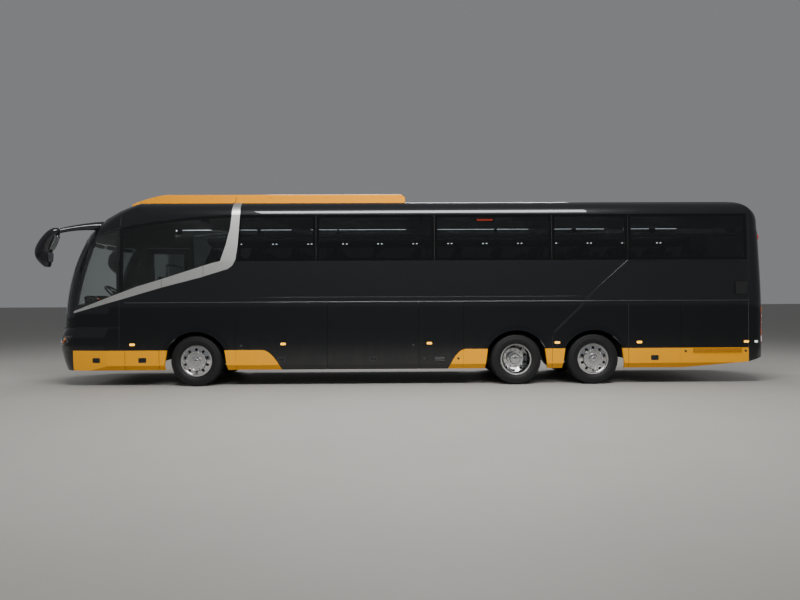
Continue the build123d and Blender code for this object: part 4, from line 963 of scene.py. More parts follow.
def lay_sash_heads():
    """The sash carried on over the edge of the roof, up to the foot of the fairing."""
    sash = nodes["window_sashes"].data
    crown = max(v.co.z for v in sash.vertices)
    ends = [v.co.x for v in sash.vertices if v.co.z > crown - 0.004]
    middle, width = (min(ends) + max(ends)) / 2, max(ends) - min(ends)
    heads = Piece("sash_heads")
    for side in SIDES.values():
        hub = Vector((middle, side * 0.80, 3.18))
        hits = []
        for step in range(13):
            angle = math.radians(16 + 52 * step / 12)
            reach = Vector((0, side * math.cos(angle), math.sin(angle)))
            hits.append(skin_hit(hub + reach * 1.2, -reach))
        heads.add(laid(hits, band(width, -0.004, 0.004)), "sash")
    heads.ride()


def fit_flap_seals():
    """Rubber strips on the chassis behind the joints between the flaps."""
    seals = Piece("flap_seals")
    for name, side in SIDES.items():
        flaps = [flap for flap in FLAPS if name in flap and "engine" not in flap]
        y = side * 1.176
        for x in sorted(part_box(flap)[end].x for flap in flaps for end in (0, 1)):
            seals.add(block((x - 0.020, y - 0.004, 0.325), (x + 0.020, y + 0.004, 0.72), 0.002), "rubber")
    seals.ride()


# Recessed pull handles, all at one height: body, side, x
HANDLE_Z = 0.515
HANDLES = [
    ("chassis", 1, 6.013),
    ("chassis", 1, 5.120),
    ("chassis", 1, -4.758),
    ("bay_door_left_front", 1, 2.457),
    ("bay_door_left_rear", 1, 0.694),
    ("bay_door_right_front", -1, 2.457),
    ("bay_door_right_rear", -1, 0.694),
    ("chassis", -1, -4.758),
]
# Quarter-turn locks: body, side, x, z
LOCKS = [
    ("engine_side_door_left", 1, -5.36, 0.635),
    ("engine_side_door_left", 1, -6.535, 0.635),
    ("engine_side_door_right", -1, -5.36, 0.635),
    ("engine_side_door_right", -1, -6.50, 0.635),
    ("service_door_left", 1, -0.29, 0.52),
    ("service_door_left", 1, -0.95, 0.52),
    ("bay_door_left_front", 1, 3.23, 0.78),
    ("bay_door_left_rear", 1, -0.08, 0.78),
]


def add_handle(piece, place):
    """Dished bezel and the lever inside it."""
    piece.add(frame_ring(0.150, 0.094, 0.020, 0.009, 0.0045), "black_plastic", place)
    piece.add(pillow(0.136, 0.080, 0.014, 0.0012, 0.0006), "rubber", place)
    lever = shifted(pillow(0.108, 0.034, 0.008, 0.0075, 0.002), (0, 0, 0.014))
    lip = shifted(pillow(0.108, 0.008, 0.003, 0.010, 0.002), (0, 0, -0.004))
    piece.add(joined(lever, lip), "gloss_plastic", place)


def fit_handles():
    fitted = {}
    for body, side, x in HANDLES:
        piece = fitted.setdefault(body, Piece(f"handles_{body}"))
        add_handle(piece, facing(flank(x, HANDLE_Z, side)))
    boss = capped([(0, 0), (0, 0.023), (0.003, 0.023), (0.0045, 0.020), (0.0045, 0)], 24)
    lock = joined(boss, block((-0.014, 0.0035, -0.003), (0.014, 0.0065, 0.003), 0.0006))
    for body, side, x, z in LOCKS:
        piece = fitted.setdefault(body, Piece(f"handles_{body}"))
        piece.add(lock, "black_plastic", facing(flank(x, z, side)))
    for body, piece in fitted.items():
        piece.ride(body)


# Side marker lamps on the flaps, and the bezels of those on the fixed panels
FLAP_MARKERS = [
    ("bay_door_left_front", 1, 2.425),
    ("service_door_left", 1, -0.39),
    ("engine_side_door_left", 1, -6.545),
    ("bay_door_right_front", -1, 2.425),
    ("bay_door_right_rear", -1, 0.25),
    ("engine_side_door_right", -1, -6.545),
]
FIXED_MARKERS = [(1, 5.312), (1, -2.864), (1, -4.457), (-1, 4.890), (-1, -2.864), (-1, -4.457)]
MARKER_Z = 0.815
# The skin is probed beside a fixed lamp, which would be struck itself
BESIDE_LAMP = 0.12


def fit_markers():
    bezel = frame_ring(0.114, 0.056, 0.024, 0.0065, 0.006)
    for body, side, x in FLAP_MARKERS:
        place = facing(flank(x, MARKER_Z, side))
        lamp = Piece(f"marker_lamp_{body}")
        lamp.add(pillow(0.100, 0.042, 0.018, 0.012, 0.003), "amber_lens", place)
        lamp.add(bezel, "rubber", place)
        lamp.ride(body)
    rims = Piece("marker_lamp_rims")
    for side, x in FIXED_MARKERS:
        place = facing(flank(x + BESIDE_LAMP, MARKER_Z, side))
        rims.add(shifted(bezel, (-BESIDE_LAMP * side, 0, 0)), "rubber", place)
    for side in SIDES.values():
        place = facing(flank(-6.745, MARKER_Z, side))
        rims.add(pillow(0.070, 0.044, 0.016, 0.010, 0.003), "white_lens", place)
        rims.add(frame_ring(0.082, 0.056, 0.022, 0.0055, 0.005), "rubber", place)
    rims.ride()


def slats(width, height, count, depth=0.008, blade=0.35):
    """Row of level blades in a rounded frame, tilted to shed water."""
    pitch = (height - 0.02) / count
    reach = width / 2 - 0.008
    slat = block((-reach, 0, -pitch * blade / 2), (reach, depth, pitch * blade / 2), 0.0008)
    tilted = moved(slat, Matrix.Rotation(math.radians(28), 4, "X"))
    first = shifted(tilted, (0, 0.001, -height / 2 + 0.01 + pitch / 2))
    return repeated(first, "black_plastic", ROW, Count=count, Step=(0.0, 0.0, pitch))


def shade_plate(width, height, radius):
    """Dark plate behind a grille: painted shade where the opening behind the blades would be dark."""
    return pillow(width, height, radius, 0.001, 0.0005)


def add_grille(piece, place, bezel, back, blades, rim="black_plastic", slat="black_plastic"):
    """A bezel with a dark plate of painted shade and a row of blades in it, all by their sizes."""
    piece.add(frame_ring(*bezel), rim, place)
    piece.add(shade_plate(*back), "rubber", place)
    piece.add(slats(*blades), slat, place)


def fit_vents():
    slit = Piece("service_door_vent")
    bezel, back = (0.22, 0.12, 0.018, 0.008, 0.006), (0.206, 0.106, 0.012)
    blades = (0.20, 0.104, 3, 0.012, 0.5)
    add_grille(slit, facing(flank(-0.59, 0.51)), bezel, back, blades, "trim_paint", "rubber")
    slit.ride("service_door_left")

    bezel, back, blades = (0.27, 0.25, 0.014, 0.010, 0.007), (0.254, 0.234, 0.008), (0.25, 0.23, 8)
    upright = shifted(block((-0.002, 0.001, -0.046), (0.002, 0.0045, 0.046), 0.0005), (-0.4725, 0, 0))
    level = shifted(block((-0.48, 0.001, -0.0015), (0.48, 0.0035, 0.0015), 0.0005), (0, 0, -0.039))
    bars = repeated(upright, "skirt_paint", ROW, Count=64, Step=(0.015, 0.0, 0.0))
    lattice = joined(bars, repeated(level, "skirt_paint", ROW, Count=7, Step=(0.0, 0.0, 0.013)))
    for name, side in SIDES.items():
        vent = Piece(f"roof_level_vent_{name}")
        add_grille(vent, facing(flank(-6.46, 1.86, side)), bezel, back, blades, "trim_paint", "rubber")
        vent.ride()

        grille = Piece(f"engine_door_grille_{name}")
        place = facing(flank(-5.98, 0.645, side))
        # Dark plate of painted shade behind the lattice
        grille.add(shade_plate(0.96, 0.092, 0.010), "rubber", place)
        grille.add(frame_ring(0.97, 0.104, 0.014, 0.007, 0.006), "skirt_paint", place)
        grille.add(lattice, "skirt_paint", place)
        grille.ride(f"engine_side_door_{name}")

    radiator = Piece("radiator_grille")
    bezel, back, blades = (1.06, 0.56, 0.03, 0.014, 0.008), (1.04, 0.54, 0.02), (1.03, 0.53, 18, 0.011)
    add_grille(radiator, facing(flank(-5.93, 1.12, -1)), bezel, back, blades)
    radiator.ride("engine_side_door_right")


# Wheels

TYRE_HALF = 0.149
TYRE_CROWN = 0.490
# Half section of the carcass from the bead to the shoulder: offset, radius
SIDE_WALL = [
    (0.1140, 0.2855),
    (0.1140, 0.3010),
    (0.1215, 0.3045),
    (0.1290, 0.3100),
    (0.1340, 0.3180),
    (0.1362, 0.3200),
    (0.1362, 0.3240),
    (0.1385, 0.3270),
    (0.1450, 0.3520),
    (0.1464, 0.3540),
    (0.1464, 0.3580),
    (0.1468, 0.3610),
    (0.1482, 0.3900),
    (TYRE_HALF, 0.3930),
    (TYRE_HALF, 0.3990),
    (0.1478, 0.4020),
    (0.1440, 0.4300),
    (0.1424, 0.4480),
    (0.1424, 0.4540),
    (0.1330, 0.4680),
    (0.1180, 0.4745),
]
GROOVES = (0.0985, 0.0385, -0.0385, -0.0985)
# Ribs of the tread: from offset to offset, slant
RIBS = [
    (-0.1170, -0.0760, 0.0),
    (-0.0650, -0.0240, 0.3),
    (-0.0155, 0.0155, 0.0),
    (0.0240, 0.0650, 0.3),
    (0.0760, 0.1170, 0.0),
]
# Lugs round the tread, share of their pitch and share of the slant, without and with drive
TREADS = {False: (72, 0.93, 0.25), True: (56, 0.80, 1.0)}


def round_wheel(shape, finish, count):
    return repeated(shape, finish, RING, Count=count, Axis=(0.0, 1.0, 0.0), Centre=(0.0, 0.0, 0.0))


def tyre_shape(drive):
    """Carcass with rings on its flanks, and a tread of grooved ribs or of blocks."""
    floor = [(offset, TYRE_CROWN - 0.014) for offset in GROOVES]
    carcass = turned(SIDE_WALL + floor + [(-y, r) for y, r in reversed(SIDE_WALL)], 96)
    pitches, share, slant = TREADS[drive]
    reach = math.pi * TYRE_CROWN / pitches * share
    lugs = []
    for low, high, skew in RIBS:
        middle = (low + high) / 2
        shear = Matrix.Identity(4)
        shear[0][1] = skew * slant
        lug = block((-reach, low, TYRE_CROWN - 0.020), (reach, high, TYRE_CROWN - 0.0009), 0.0022)
        place = Matrix.Translation((0, middle, 0)) @ shear @ Matrix.Translation((0, -middle, 0))
        lugs.append(moved(lug, place))
        if abs(middle) > 0.075:
            edge = math.copysign(max(abs(low), abs(high)), middle)
            inner, outer = sorted((edge, edge + math.copysign(0.020, edge)))
            foot, head = TYRE_CROWN - 0.045, TYRE_CROWN - 0.012
            lugs.append(block((-reach * 0.55, inner, foot), (reach * 0.55, outer, head), 0.004))
    return joined(carcass, round_wheel(joined(*lugs), "tyre", pitches))


def nut_shape(across=0.033, height=0.022):
    """Hexagon nut on a washer with the end of its stud."""
    half, head = across / 2, height + 0.002
    washer = capped([(0, 0), (0, 0.0205), (0.004, 0.0205), (0.0045, half * 1.12)], 24)
    hexagon = capped([(0.0045, half * 1.1547), (height, half * 1.1547), (head, half), (head, 0.011)], 6)
    stud = capped([(head, 0.011), (height + 0.009, 0.011), (height + 0.011, 0.009), (height + 0.011, 0)], 16)
    return joined(washer, hexagon, stud)


def nut_ring(count, radius, offset, *size):
    return round_wheel(shifted(nut_shape(*size), (radius, offset, 0)), "nut", count)


def cap_shape(offset, radius, rise, steps=3):
    """Domed cap with stepped rings."""
    profile = [(offset, 0.0), (offset, radius)]
    for step in range(1, steps + 1):
        angle = step / steps * math.pi / 2
        ring = radius * math.cos(angle * 0.92)
        level = offset + rise * math.sin(angle)
        profile += [(level - rise * 0.10 / steps, ring + 0.0015), (level, ring)]
    return capped(profile + [(offset + rise, 0.0)], 48)


# Turned rings on the rim's face: profile, sides, finish
TWIN_RINGS = [([(-0.02, 0.110), (-0.02, 0.121), (-0.008, 0.121), (-0.008, 0.110)], 64, "nut")]
SINGLE_RINGS = [
    ([(0.1495, 0.1895), (0.1530, 0.1880), (0.1530, 0.1850), (0.1495, 0.1840)], 96, "nut"),
    ([(0.1500, 0.0885), (0.1560, 0.0885), (0.1560, 0.0960), (0.1500, 0.0990)], 64, "nut"),
    ([(-0.125, 0.130), (-0.125, 0.254), (-0.119, 0.254), (-0.119, 0.130)], 64, "axle"),
]
FLANGE_RING = ([(0.1255, 0.2955), (0.1275, 0.2965), (0.1275, 0.2995), (0.1255, 0.3005)], 96, "nut")


def dress_wheel(name, axle_x, side, twin):
    turn = Matrix.Rotation(math.pi if side < 0 else 0.0, 4, "Z")
    place = Matrix.Translation((axle_x, side * WHEEL_Y, AXLE_Z)) @ turn
    rubber = Piece(f"tyre_dress_{name}")
    rubber.add(TYRES[twin], "tyre", place)
    if twin:
        rubber.add(TYRES[twin], "tyre", place @ Matrix.Translation((0, -TWIN_SPACING, 0)))
    rubber.ride(f"wheel_{name}", f"tyre_{name}", sharp=30.0)

    bright = Piece(f"wheel_fittings_{name}")
    if twin:
        nuts = nut_ring(10, 0.1675, -TWIN_SPACING / 2 + 0.014), nut_ring(8, 0.076, 0.044, 0.016, 0.010)
        cap, rings = (0.0435, 0.056, 0.016), TWIN_RINGS
        valve = [(0.255, -0.12, 0), (0.262, 0.02, 0), (0.262, 0.09, 0)]
    else:
        nuts = nut_ring(10, 0.1675, 0.150), nut_ring(10, 0.0635, 0.1815, 0.013, 0.008)
        cap, rings = (0.1815, 0.048, 0.010), SINGLE_RINGS
        valve = [(0.255, 0.070, 0), (0.262, 0.110, 0), (0.262, 0.142, 0)]
    bright.add(joined(*nuts), "nut", place)
    bright.add(cap_shape(*cap), "alloy", place)
    for profile, sides, finish in rings + [FLANGE_RING]:
        bright.add(turned(profile, sides), finish, place)
    bright.add(tube(valve, 0.0042, 8), "steel", place)
    weight = moved(block((-0.022, 0.124, 0.292), (0.022, 0.131, 0.3), 0.002), Matrix.Rotation(1.9, 4, "Y"))
    bright.add(weight, "nut", place)
    bright.ride(f"wheel_{name}")


for name, side in SIDES.items():
    lay_panel_lines(name, side)
lay_sash_seams()
lay_sash_heads()
fit_flap_seals()
fit_handles()
fit_markers()
fit_vents()
TYRES = {drive: tyre_shape(drive) for drive in TREADS}
for name, (axle_x, side, twin) in WHEELS.items():
    dress_wheel(name, axle_x, side, twin)


# Seats

ROW_PITCH = 0.8
FIRST_ROW_X = 4.05
SEAT_ROWS = 13
# Blocks of rows: side, first row's x, rows
SEAT_BLOCKS = {"left": [(1, FIRST_ROW_X, SEAT_ROWS)], "right": [(-1, FIRST_ROW_X, 6), (-1, -2.35, 5)]}
INNER_SEAT_Y = 0.485
SEAT_SPACING = 0.45
DRIVER_SEAT = (5.15, 0.74, CAB_FLOOR_Z)
BACK_TILT = math.radians(15.8)
CUSHION_TILT = math.radians(3.7)
BACK_FOOT = Vector((0.02, 0.0, 0.48))
PAD_DEPTH = 0.115
# Frames over which the cloth simulation fills a pad
PAD_FRAMES = 20


def back_place(up, forward):
    """Point on the seat back: so far up from its foot, so far forward of its front face."""
    rise = Vector((-math.sin(BACK_TILT), 0, math.cos(BACK_TILT)))
    ahead = Vector((math.cos(BACK_TILT), 0, math.sin(BACK_TILT)))
    return BACK_FOOT + rise * up + ahead * forward, rise, ahead


def on_back(shape, up, forward=0.0):
    """Shape made on the plane Y = 0, set on the rear of the seat back with its Y rearwards."""
    place, rise, ahead = back_place(up, forward - PAD_DEPTH)
    return moved(shape, axes(place, (0, 1, 0), -ahead, rise))


def pad_lines(length, seams, count):
    """Places of a pad's grid lines from edge to edge, with three close together at each seam."""
    half = length / 2
    lines = [half * math.sin(math.pi / 2 * (2 * i / count - 1)) for i in range(count + 1)]
    lines = [v for v in lines if all(abs(v - s) > 0.016 for s in seams)]
    return sorted(lines + [s + d for s in seams for d in (-0.009, 0.0, 0.009)])


def pad_cage(width, length, thick, across, along, counts, bolster):
    """Closed pad on the plane Z = 0 with sewn channels; returns its shape and the corners that seams hold."""
    side_lines = pad_lines(width, across, counts[0])
    long_lines = pad_lines(length, along, counts[1])
    columns, rows = len(side_lines), len(long_lines)
    bm = bmesh.new()
    held = bm.verts.layers.int.new("held")
    made = []
    for layer in (1, 0):
        for b in long_lines:
            for a in side_lines:
                edges = (abs(2 * a / width), abs(2 * b / length))
                fullness = math.prod(math.sqrt(max(0.0, 1 - edge**7)) for edge in edges)
                wing = max(0.0, abs(a) - max(across, default=0.0)) / (width / 2)
                seam = min([abs(a - s) for s in across] + [abs(b - s) for s in along], default=1.0)
                height = thick * 0.5
                if layer:
                    height += thick * 0.5 * fullness + bolster * min(1.0, wing * 4) * fullness
                    height -= 0.014 * fullness * math.exp(-((seam / 0.008) ** 2))
                else:
                    height -= thick * 0.5 * fullness
                made.append(bm.verts.new((a, b, height)))
                made[-1][held] = int(not layer or seam < 0.001 or fullness == 0)
    for j in range(rows - 1):
        for i in range(columns - 1):
            low = j * columns + i
            quad = (low, low + 1, low + columns + 1, low + columns)
            bm.faces.new([made[v] for v in quad])
            bm.faces.new([made[columns * rows + v] for v in reversed(quad)])
    bmesh.ops.remove_doubles(bm, verts=bm.verts, dist=1e-6)
    bm.verts.index_update()
    pins = [v.index for v in bm.verts if v[held]]
    return from_bmesh(bm), pins


def inflated(shape, pins, cap):
    """The pad filled by a cloth simulation: seams hold, and the cover swells by no more than the cap."""
    pad = linked("pad_cage", plain_mesh("pad_cage", *shape))
    pad.vertex_groups.new(name="held").add(pins, 1.0, "REPLACE")
    cloth = pad.modifiers.new("cover", "CLOTH")
    cloth.settings.quality = 6
    cloth.settings.mass = 0.2
    cloth.settings.vertex_group_mass = "held"
    cloth.settings.use_pressure = True
    cloth.settings.uniform_pressure_force = 4.0
    cloth.settings.effector_weights.gravity = 0.0
    cloth.point_cache.frame_start = 1
    cloth.point_cache.frame_end = PAD_FRAMES
    for step in range(1, PAD_FRAMES + 1):
        bpy.context.scene.frame_set(step)
    depsgraph = bpy.context.evaluated_depsgraph_get()
    swollen = [v.co.copy() for v in pad.evaluated_get(depsgraph).data.vertices]
    bpy.data.objects.remove(pad)
    bpy.context.scene.frame_set(1)
    result = []
    for before, after in zip(shape[0], swollen):
        move = after - before
        result.append(before + move * min(1.0, cap / max(move.length, 1e-9)))
    return result, shape[1]


# Pads: size, seams across and along, grid counts and bolster, and how far the cover may swell
CUSHION = ((0.425, 0.375, 0.105, (-0.135, 0.135), (-0.045, 0.075), (16, 12), 0.014), 0.012)
BACK = ((0.425, 0.560, 0.105, (-0.135, 0.135), (-0.13, 0.03, 0.17), (16, 18), 0.022), 0.013)
HEADREST = ((0.330, 0.165, 0.090, (-0.105, 0.105), (), (12, 8), 0.014), 0.010)
# Layers of the shell behind the back and of the pan under the cushion: height, outline
SHELL = [
    (0.0, (0.425, 0.690, 0.070)),
    (0.022, (0.436, 0.698, 0.075)),
    (0.040, (0.426, 0.688, 0.075)),
    (0.052, (0.380, 0.640, 0.070)),
]
PAN = [(0.0, (0.36, 0.400, 0.03)), (0.030, (0.40, 0.425, 0.03)), (0.045, (0.39, 0.415, 0.03))]
# Grip on the back's aisle corner: y, height, depth
GRIP = [(-0.19, 0.60, -0.125), (-0.19, 0.655, -0.13), (-0.16, 0.685, -0.13), (-0.10, 0.69, -0.125)]


def layered(layers):
    return stacked([(height, rounded(*outline)) for height, outline in layers])


def pad_shape(pad):
    size, cap = pad
    return inflated(*pad_cage(*size), cap)


def seat_parts():
    """Parts of one seat, on the floor at its own origin: finish and shape."""
    lean = Vector((math.cos(CUSHION_TILT), 0, math.sin(CUSHION_TILT)))
    rise = (-math.sin(CUSHION_TILT), 0, math.cos(CUSHION_TILT))
    cushion = moved(pad_shape(CUSHION), axes((0.185, 0, 0.377), (0, 1, 0), lean, rise))
    pads = []
    for pad, up in ((BACK, 0.272), (HEADREST, 0.616)):
        place, rise, ahead = back_place(up, -PAD_DEPTH)
        pads.append(moved(pad_shape(pad), axes(place, (0, 1, 0), rise, ahead)))
    back, head = pads
    shell = on_back(layered(SHELL), 0.352, 0.012)
    table = on_back(pillow(0.350, 0.225, 0.025, 0.020, 0.005), 0.385, -0.038)
    catch = on_back(pillow(0.050, 0.026, 0.008, 0.026, 0.004), 0.515, -0.038)
    pocket = on_back(frame_ring(0.340, 0.190, 0.02, 0.008, 0.014), 0.135, -0.038)
    grip = tube([back_place(up, out)[0] + Vector((0, y, 0)) for y, up, out in GRIP], 0.011, 8)
    pan = moved(layered(PAN), axes((0.185, 0, 0.345), (1, 0, 0), (0, 0, 1), (0, 1, 0)))
    return [
        ("cloth", joined(cushion, back)),
        ("headrest", head),
        ("seat_shell", joined(shell, table, pan)),
        ("gloss_plastic", joined(catch, pocket, grip)),
    ]


# Under a pair of seats, with Y 0 in the middle: boxes with their chamfer, and tubes with their radius
PAIR_STEEL = [
    ((0.03, -0.44, 0.295), (0.07, 0.44, 0.345), 0.005),
    ((0.27, -0.44, 0.300), (0.31, 0.44, 0.345), 0.005),
    ((-0.045, -0.255, 0.0), (0.125, -0.225, 0.012), 0.003),
    ((0.03, 0.425, 0.295), (0.31, 0.45, 0.325), 0.004),
]
PAIR_TUBES = [
    ([(0.0, -0.24, 0.008), (0.045, -0.24, 0.30)], 0.017),
    ([(0.10, -0.24, 0.008), (0.28, -0.24, 0.305)], 0.017),
    ([(0.13, -0.24, 0.08), (0.13, 0.40, 0.08)], 0.013),
]
ARMRESTS = [
    ((-0.105, -0.448, 0.640), (0.215, -0.405, 0.685), 0.010),
    ((-0.105, -0.021, 0.640), (0.215, 0.021, 0.685), 0.010),
]
BUCKLES = [
    ((0.02, -0.05, 0.49), (0.045, -0.025, 0.57), 0.004),
    ((0.02, 0.025, 0.49), (0.045, 0.05, 0.57), 0.004),
]


def blocks(rows):
    return joined(*(block(*row) for row in rows))


def fit_seats():
    seat = seat_parts()
    tubes = joined(*(tube(path, radius, 8) for path, radius in PAIR_TUBES))
    pair = [("steel", joined(blocks(PAIR_STEEL), tubes))]
    pair += [("seat_shell", blocks(ARMRESTS)), ("black_plastic", blocks(BUCKLES))]
    back = (-ROW_PITCH, 0.0, 0.0)
    for name, rows in SEAT_BLOCKS.items():
        pads = Piece(f"seat_pads_{name}")
        heads = Piece(f"seat_headrests_{name}")
        rest = Piece(f"seat_frames_{name}")
        owners = {"cloth": pads, "headrest": heads}
        for side, x, count in rows:
            twin = (0.0, side * SEAT_SPACING, 0.0)
            for finish, shape in seat:
                first = shifted(shape, (x, side * INNER_SEAT_Y, DECK_Z))
                grid = {"Columns": 2, "Column_Step": twin, "Rows": count, "Row_Step": back}
                owners.get(finish, rest).add(repeated(first, finish, GRID, **grid), finish)
            spot = (x, side * (INNER_SEAT_Y + SEAT_SPACING / 2), DECK_Z)
            for finish, shape in pair:
                first = shifted(moved(shape, Matrix.Diagonal((1, side, 1, 1))), spot)
                rest.add(repeated(first, finish, ROW, Count=count, Step=back), finish)
        rest.ride("chassis", "seats")
        for soft in (pads, heads):
            soft.ride("chassis", "seats", sharp=75.0)

    cover = Piece("driver_seat_pads")
    base = Piece("driver_seat_base")
    place = Matrix.Translation(DRIVER_SEAT)
    for finish, shape in seat:
        owner = cover if finish in ("cloth", "headrest") else base
        owner.add(shape, finish, place)
    folds = [(0.04, 0.15), (0.07, 0.125), (0.10, 0.15), (0.13, 0.125), (0.16, 0.15)]
    bellows = turned([(0.012, 0.13), *folds, (0.19, 0.13)], 24)
    base.add(bellows, "rubber", place @ axes((0.17, 0, 0.07), (1, 0, 0), (0, 0, 1), (0, -1, 0)))
    boxes = [((0.0, -0.19, 0.0), (0.34, 0.19, 0.08), 0.01), ((0.0, -0.19, 0.255), (0.35, 0.19, 0.348), 0.012)]
    boxes += [((-0.08, y, 0.655), (0.24, y + 0.04, 0.70), 0.012) for y in (-0.245, 0.205)]
    base.add(blocks(boxes), "seat_shell", place)
    base.ride("chassis", "seats")
    cover.ride("chassis", "seats", sharp=75.0)


# Saloon: racks, lamps, rails, partitions and step edges

RACK_REAR_X = -6.4
RACK_FRONT_X = 4.5
LAMP_STRIP_Z = 3.285
# Lit strips along the edge of the ceiling: from x to x
COVE_LAMPS = [(-6.35, -5.10), (-4.64, -3.33), (-2.86, -0.59), (0.0, 2.20), (2.67, 4.02), (4.53, 5.33)]
# Lowest point of what hangs from the ceiling, over the clear height of the aisle
SIGN_FOOT_Z = 3.315
# Turned parts under the racks
READING_LAMP = [(0.008, 0.0), (0.008, 0.020), (0.014, 0.018), (0.014, 0)]
AIR_NOZZLE = [(0.008, 0.0), (0.008, 0.026), (0.016, 0.024), (0.014, 0.014), (0.018, 0.011), (0.018, 0)]


def rack_unit():
    """Panel under a rack with two reading lamps and two air nozzles: finish and shape."""
    lamp, nozzle = capped(READING_LAMP, 14), capped(AIR_NOZZLE, 16)
    return {
        "rack_plastic": pillow(0.36, 0.125, 0.02, 0.010, 0.003),
        "light_strip": joined(*(shifted(lamp, (x, 0, 0.02)) for x in (-0.04, 0.04))),
        "black_plastic": joined(*(shifted(nozzle, (x, 0, 0.0)) for x in (-0.125, 0.125))),
    }


def fit_racks():
    step = (-(RACK_FRONT_X - RACK_REAR_X - 0.03) / 7, 0.0, 0.0)
    for name, side in SIDES.items():
        rack = Piece(f"rack_dress_{name}")
        across, upward = (0, -side * 0.360, -0.933), (0, -side * 0.933, 0.360)
        slope = axes((FIRST_ROW_X - 0.25, side * 0.905, 2.939), (1, 0, 0), across, upward)
        for finish, shape in rack_unit().items():
            unit = moved(shape, slope)
            rack.add(repeated(unit, finish, ROW, Count=SEAT_ROWS, Step=(-ROW_PITCH, 0.0, 0.0)), finish)
        rim = [(x, side * 0.783, 3.012) for x in (RACK_REAR_X + 0.01, RACK_FRONT_X - 0.01)]
        rack.add(tube(rim, 0.011, 8), "rail")
        low, high = (RACK_FRONT_X - 0.016, side - 0.14, 2.955), (RACK_FRONT_X - 0.006, side + 0.14, 3.06)
        rack.add(repeated(block(low, high, 0.002), "seat_shell", ROW, Count=8, Step=step), "seat_shell")
        rack.ride()

        lamps = Piece(f"cove_lamps_{name}")
        for start, end in COVE_LAMPS:
            spots = [(start + (end - start) * i / 5, 0.0, LAMP_STRIP_Z) for i in range(6)]
            hits = [skin_hit(spot, (0, side, 0)) for spot in spots]
            lamps.add(laid(hits, bead(0.060, 0.020, 0.002)), "rack_plastic")
            lamps.add(laid(hits, bead(0.034, 0.026, -0.010)), "light_strip")
        lamps.ride()


# Steps of the two stairwells: riser's y and tread's z; then the edges: riser, from, to, height
ENTRY_STEPS = [(-1.26 + 0.26 * k, 0.465 + 0.17833 * k) for k in (1, 2, 3)]
MID_STEPS = [(-1.26 + 0.25 * k, 0.465 + 0.22875 * k) for k in (1, 2, 3, 4)]
SIDE_EDGES = [(y, 5.06, 5.98, z) for y, z in ENTRY_STEPS] + [(y, -1.315, -0.535, z) for y, z in MID_STEPS]
AISLE_EDGES = [(5.04, -0.22, 0.22, 1.19), (4.76, -0.22, 0.22, AISLE_Z)]


def rail_hoop(x, y_near, y_far, foot_z, top_z):
    """Handrail in a hoop across the coach, with rounded shoulders."""
    turn = math.copysign(0.06, y_far - y_near)
    half = []
    for y, inward in ((y_near, turn), (y_far, -turn)):
        shoulder = [(x, y, top_z - 0.06), (x, y + inward * 0.3, top_z - 0.018), (x, y + inward, top_z)]
        half.append([(x, y, foot_z), *shoulder])
    return half[0] + half[1][::-1]


HANDRAILS = [rail_hoop(4.99, -0.47, -1.06, CAB_FLOOR_Z + 0.002, 1.92)]
HANDRAILS += [
    rail_hoop(x, near, far, DECK_Z + 0.002, 2.36)
    for x, near, far in (
        (-1.340, -0.26, -1.06),
        (-0.510, -0.26, -1.06),
        (4.712, 0.27, 1.10),
        (4.712, -0.27, -1.10),
    )
]
# Partitions: x, from y to y
PARTITIONS = [(-1.340, -1.04, -0.29), (-0.510, -1.04, -0.29), (4.712, 0.30, 1.08), (4.712, -1.08, -0.30)]


def fit_saloon():
    lamps = Piece("ceiling_lamps")
    for x in (3.6, 2.0, 0.4, -1.2, -2.8, -4.4, -5.9):
        for y in (-0.36, 0.36):
            place = facing(ceiling(x, y), up=(1, 0, 0))
            ring = [(0, 0), (0, 0.075), (0.012, 0.070), (0.012, 0.055)]
            lamps.add(capped(ring, 28), "rack_plastic", place)
            glow = [(0.010, 0.058), (0.018, 0.046), (0.022, 0.025), (0.023, 0)]
            lamps.add(capped(glow, 28), "light_strip", place)
    lamps.ride()

    sign = Piece("cabin_display")
    foot = SIGN_FOOT_Z
    sign.add(block((-1.86, -0.020, foot), (-1.46, 0.020, foot + 0.080), 0.006), "black_plastic")
    for y in (-0.0215, 0.0215):
        sign.add(block((-1.83, y - 0.002, foot + 0.022), (-1.49, y + 0.002, foot + 0.058), 0.0008), "sign")
    head = ceiling(-1.66, 0.0)[0].z + 0.003
    for x in (-1.80, -1.52):
        sign.add(tube([(x, 0, foot + 0.075), (x, 0, head)], 0.008, 8), "steel")
    sign.ride()

    edges = Piece("step_edges")
    for y, low, high, z in SIDE_EDGES:
        edges.add(block((low, y - 0.004, z - 0.004), (high, y + 0.035, z + 0.0035), 0.002), "edge_strip")
    for x, low, high, z in AISLE_EDGES:
        edges.add(block((x - 0.035, low, z - 0.004), (x + 0.004, high, z + 0.0035), 0.002), "edge_strip")
    edges.ride()

    rails = Piece("cabin_handrails")
    flange = moved(capped([(0.0, 0.0), (0.0, 0.030), (0.006, 0.026), (0.008, 0.0)], 16), UPRIGHT)
    for path in HANDRAILS:
        rails.add(tube(path, 0.016, 12), "steel")
        for end in (path[0], path[-1]):
            rails.add(shifted(flange, end), "steel")
    rails.ride()

    walls = Piece("cabin_partitions")
    for x, low, high in PARTITIONS:
        walls.add(block((x - 0.012, low, DECK_Z + 0.04), (x + 0.012, high, 2.16), 0.012), "rack_plastic")
    walls.ride()
    screens = Piece("cabin_monitors")
    for x in (4.30, -0.30):
        head = ceiling(x, 0.0)[0].z
        base = head - 0.03
        screens.add(block((x - 0.020, -0.20, foot), (x + 0.012, 0.20, base), 0.008), "black_plastic")
        screen = block((x - 0.023, -0.186, foot + 0.014), (x - 0.018, 0.186, base - 0.014), 0.001)
        screens.add(screen, "screen")
        stalk = block((x - 0.014, -0.04, base - 0.01), (x + 0.010, 0.04, head + 0.003), 0.003)
        screens.add(stalk, "black_plastic")
    screens.ride()


# Cab

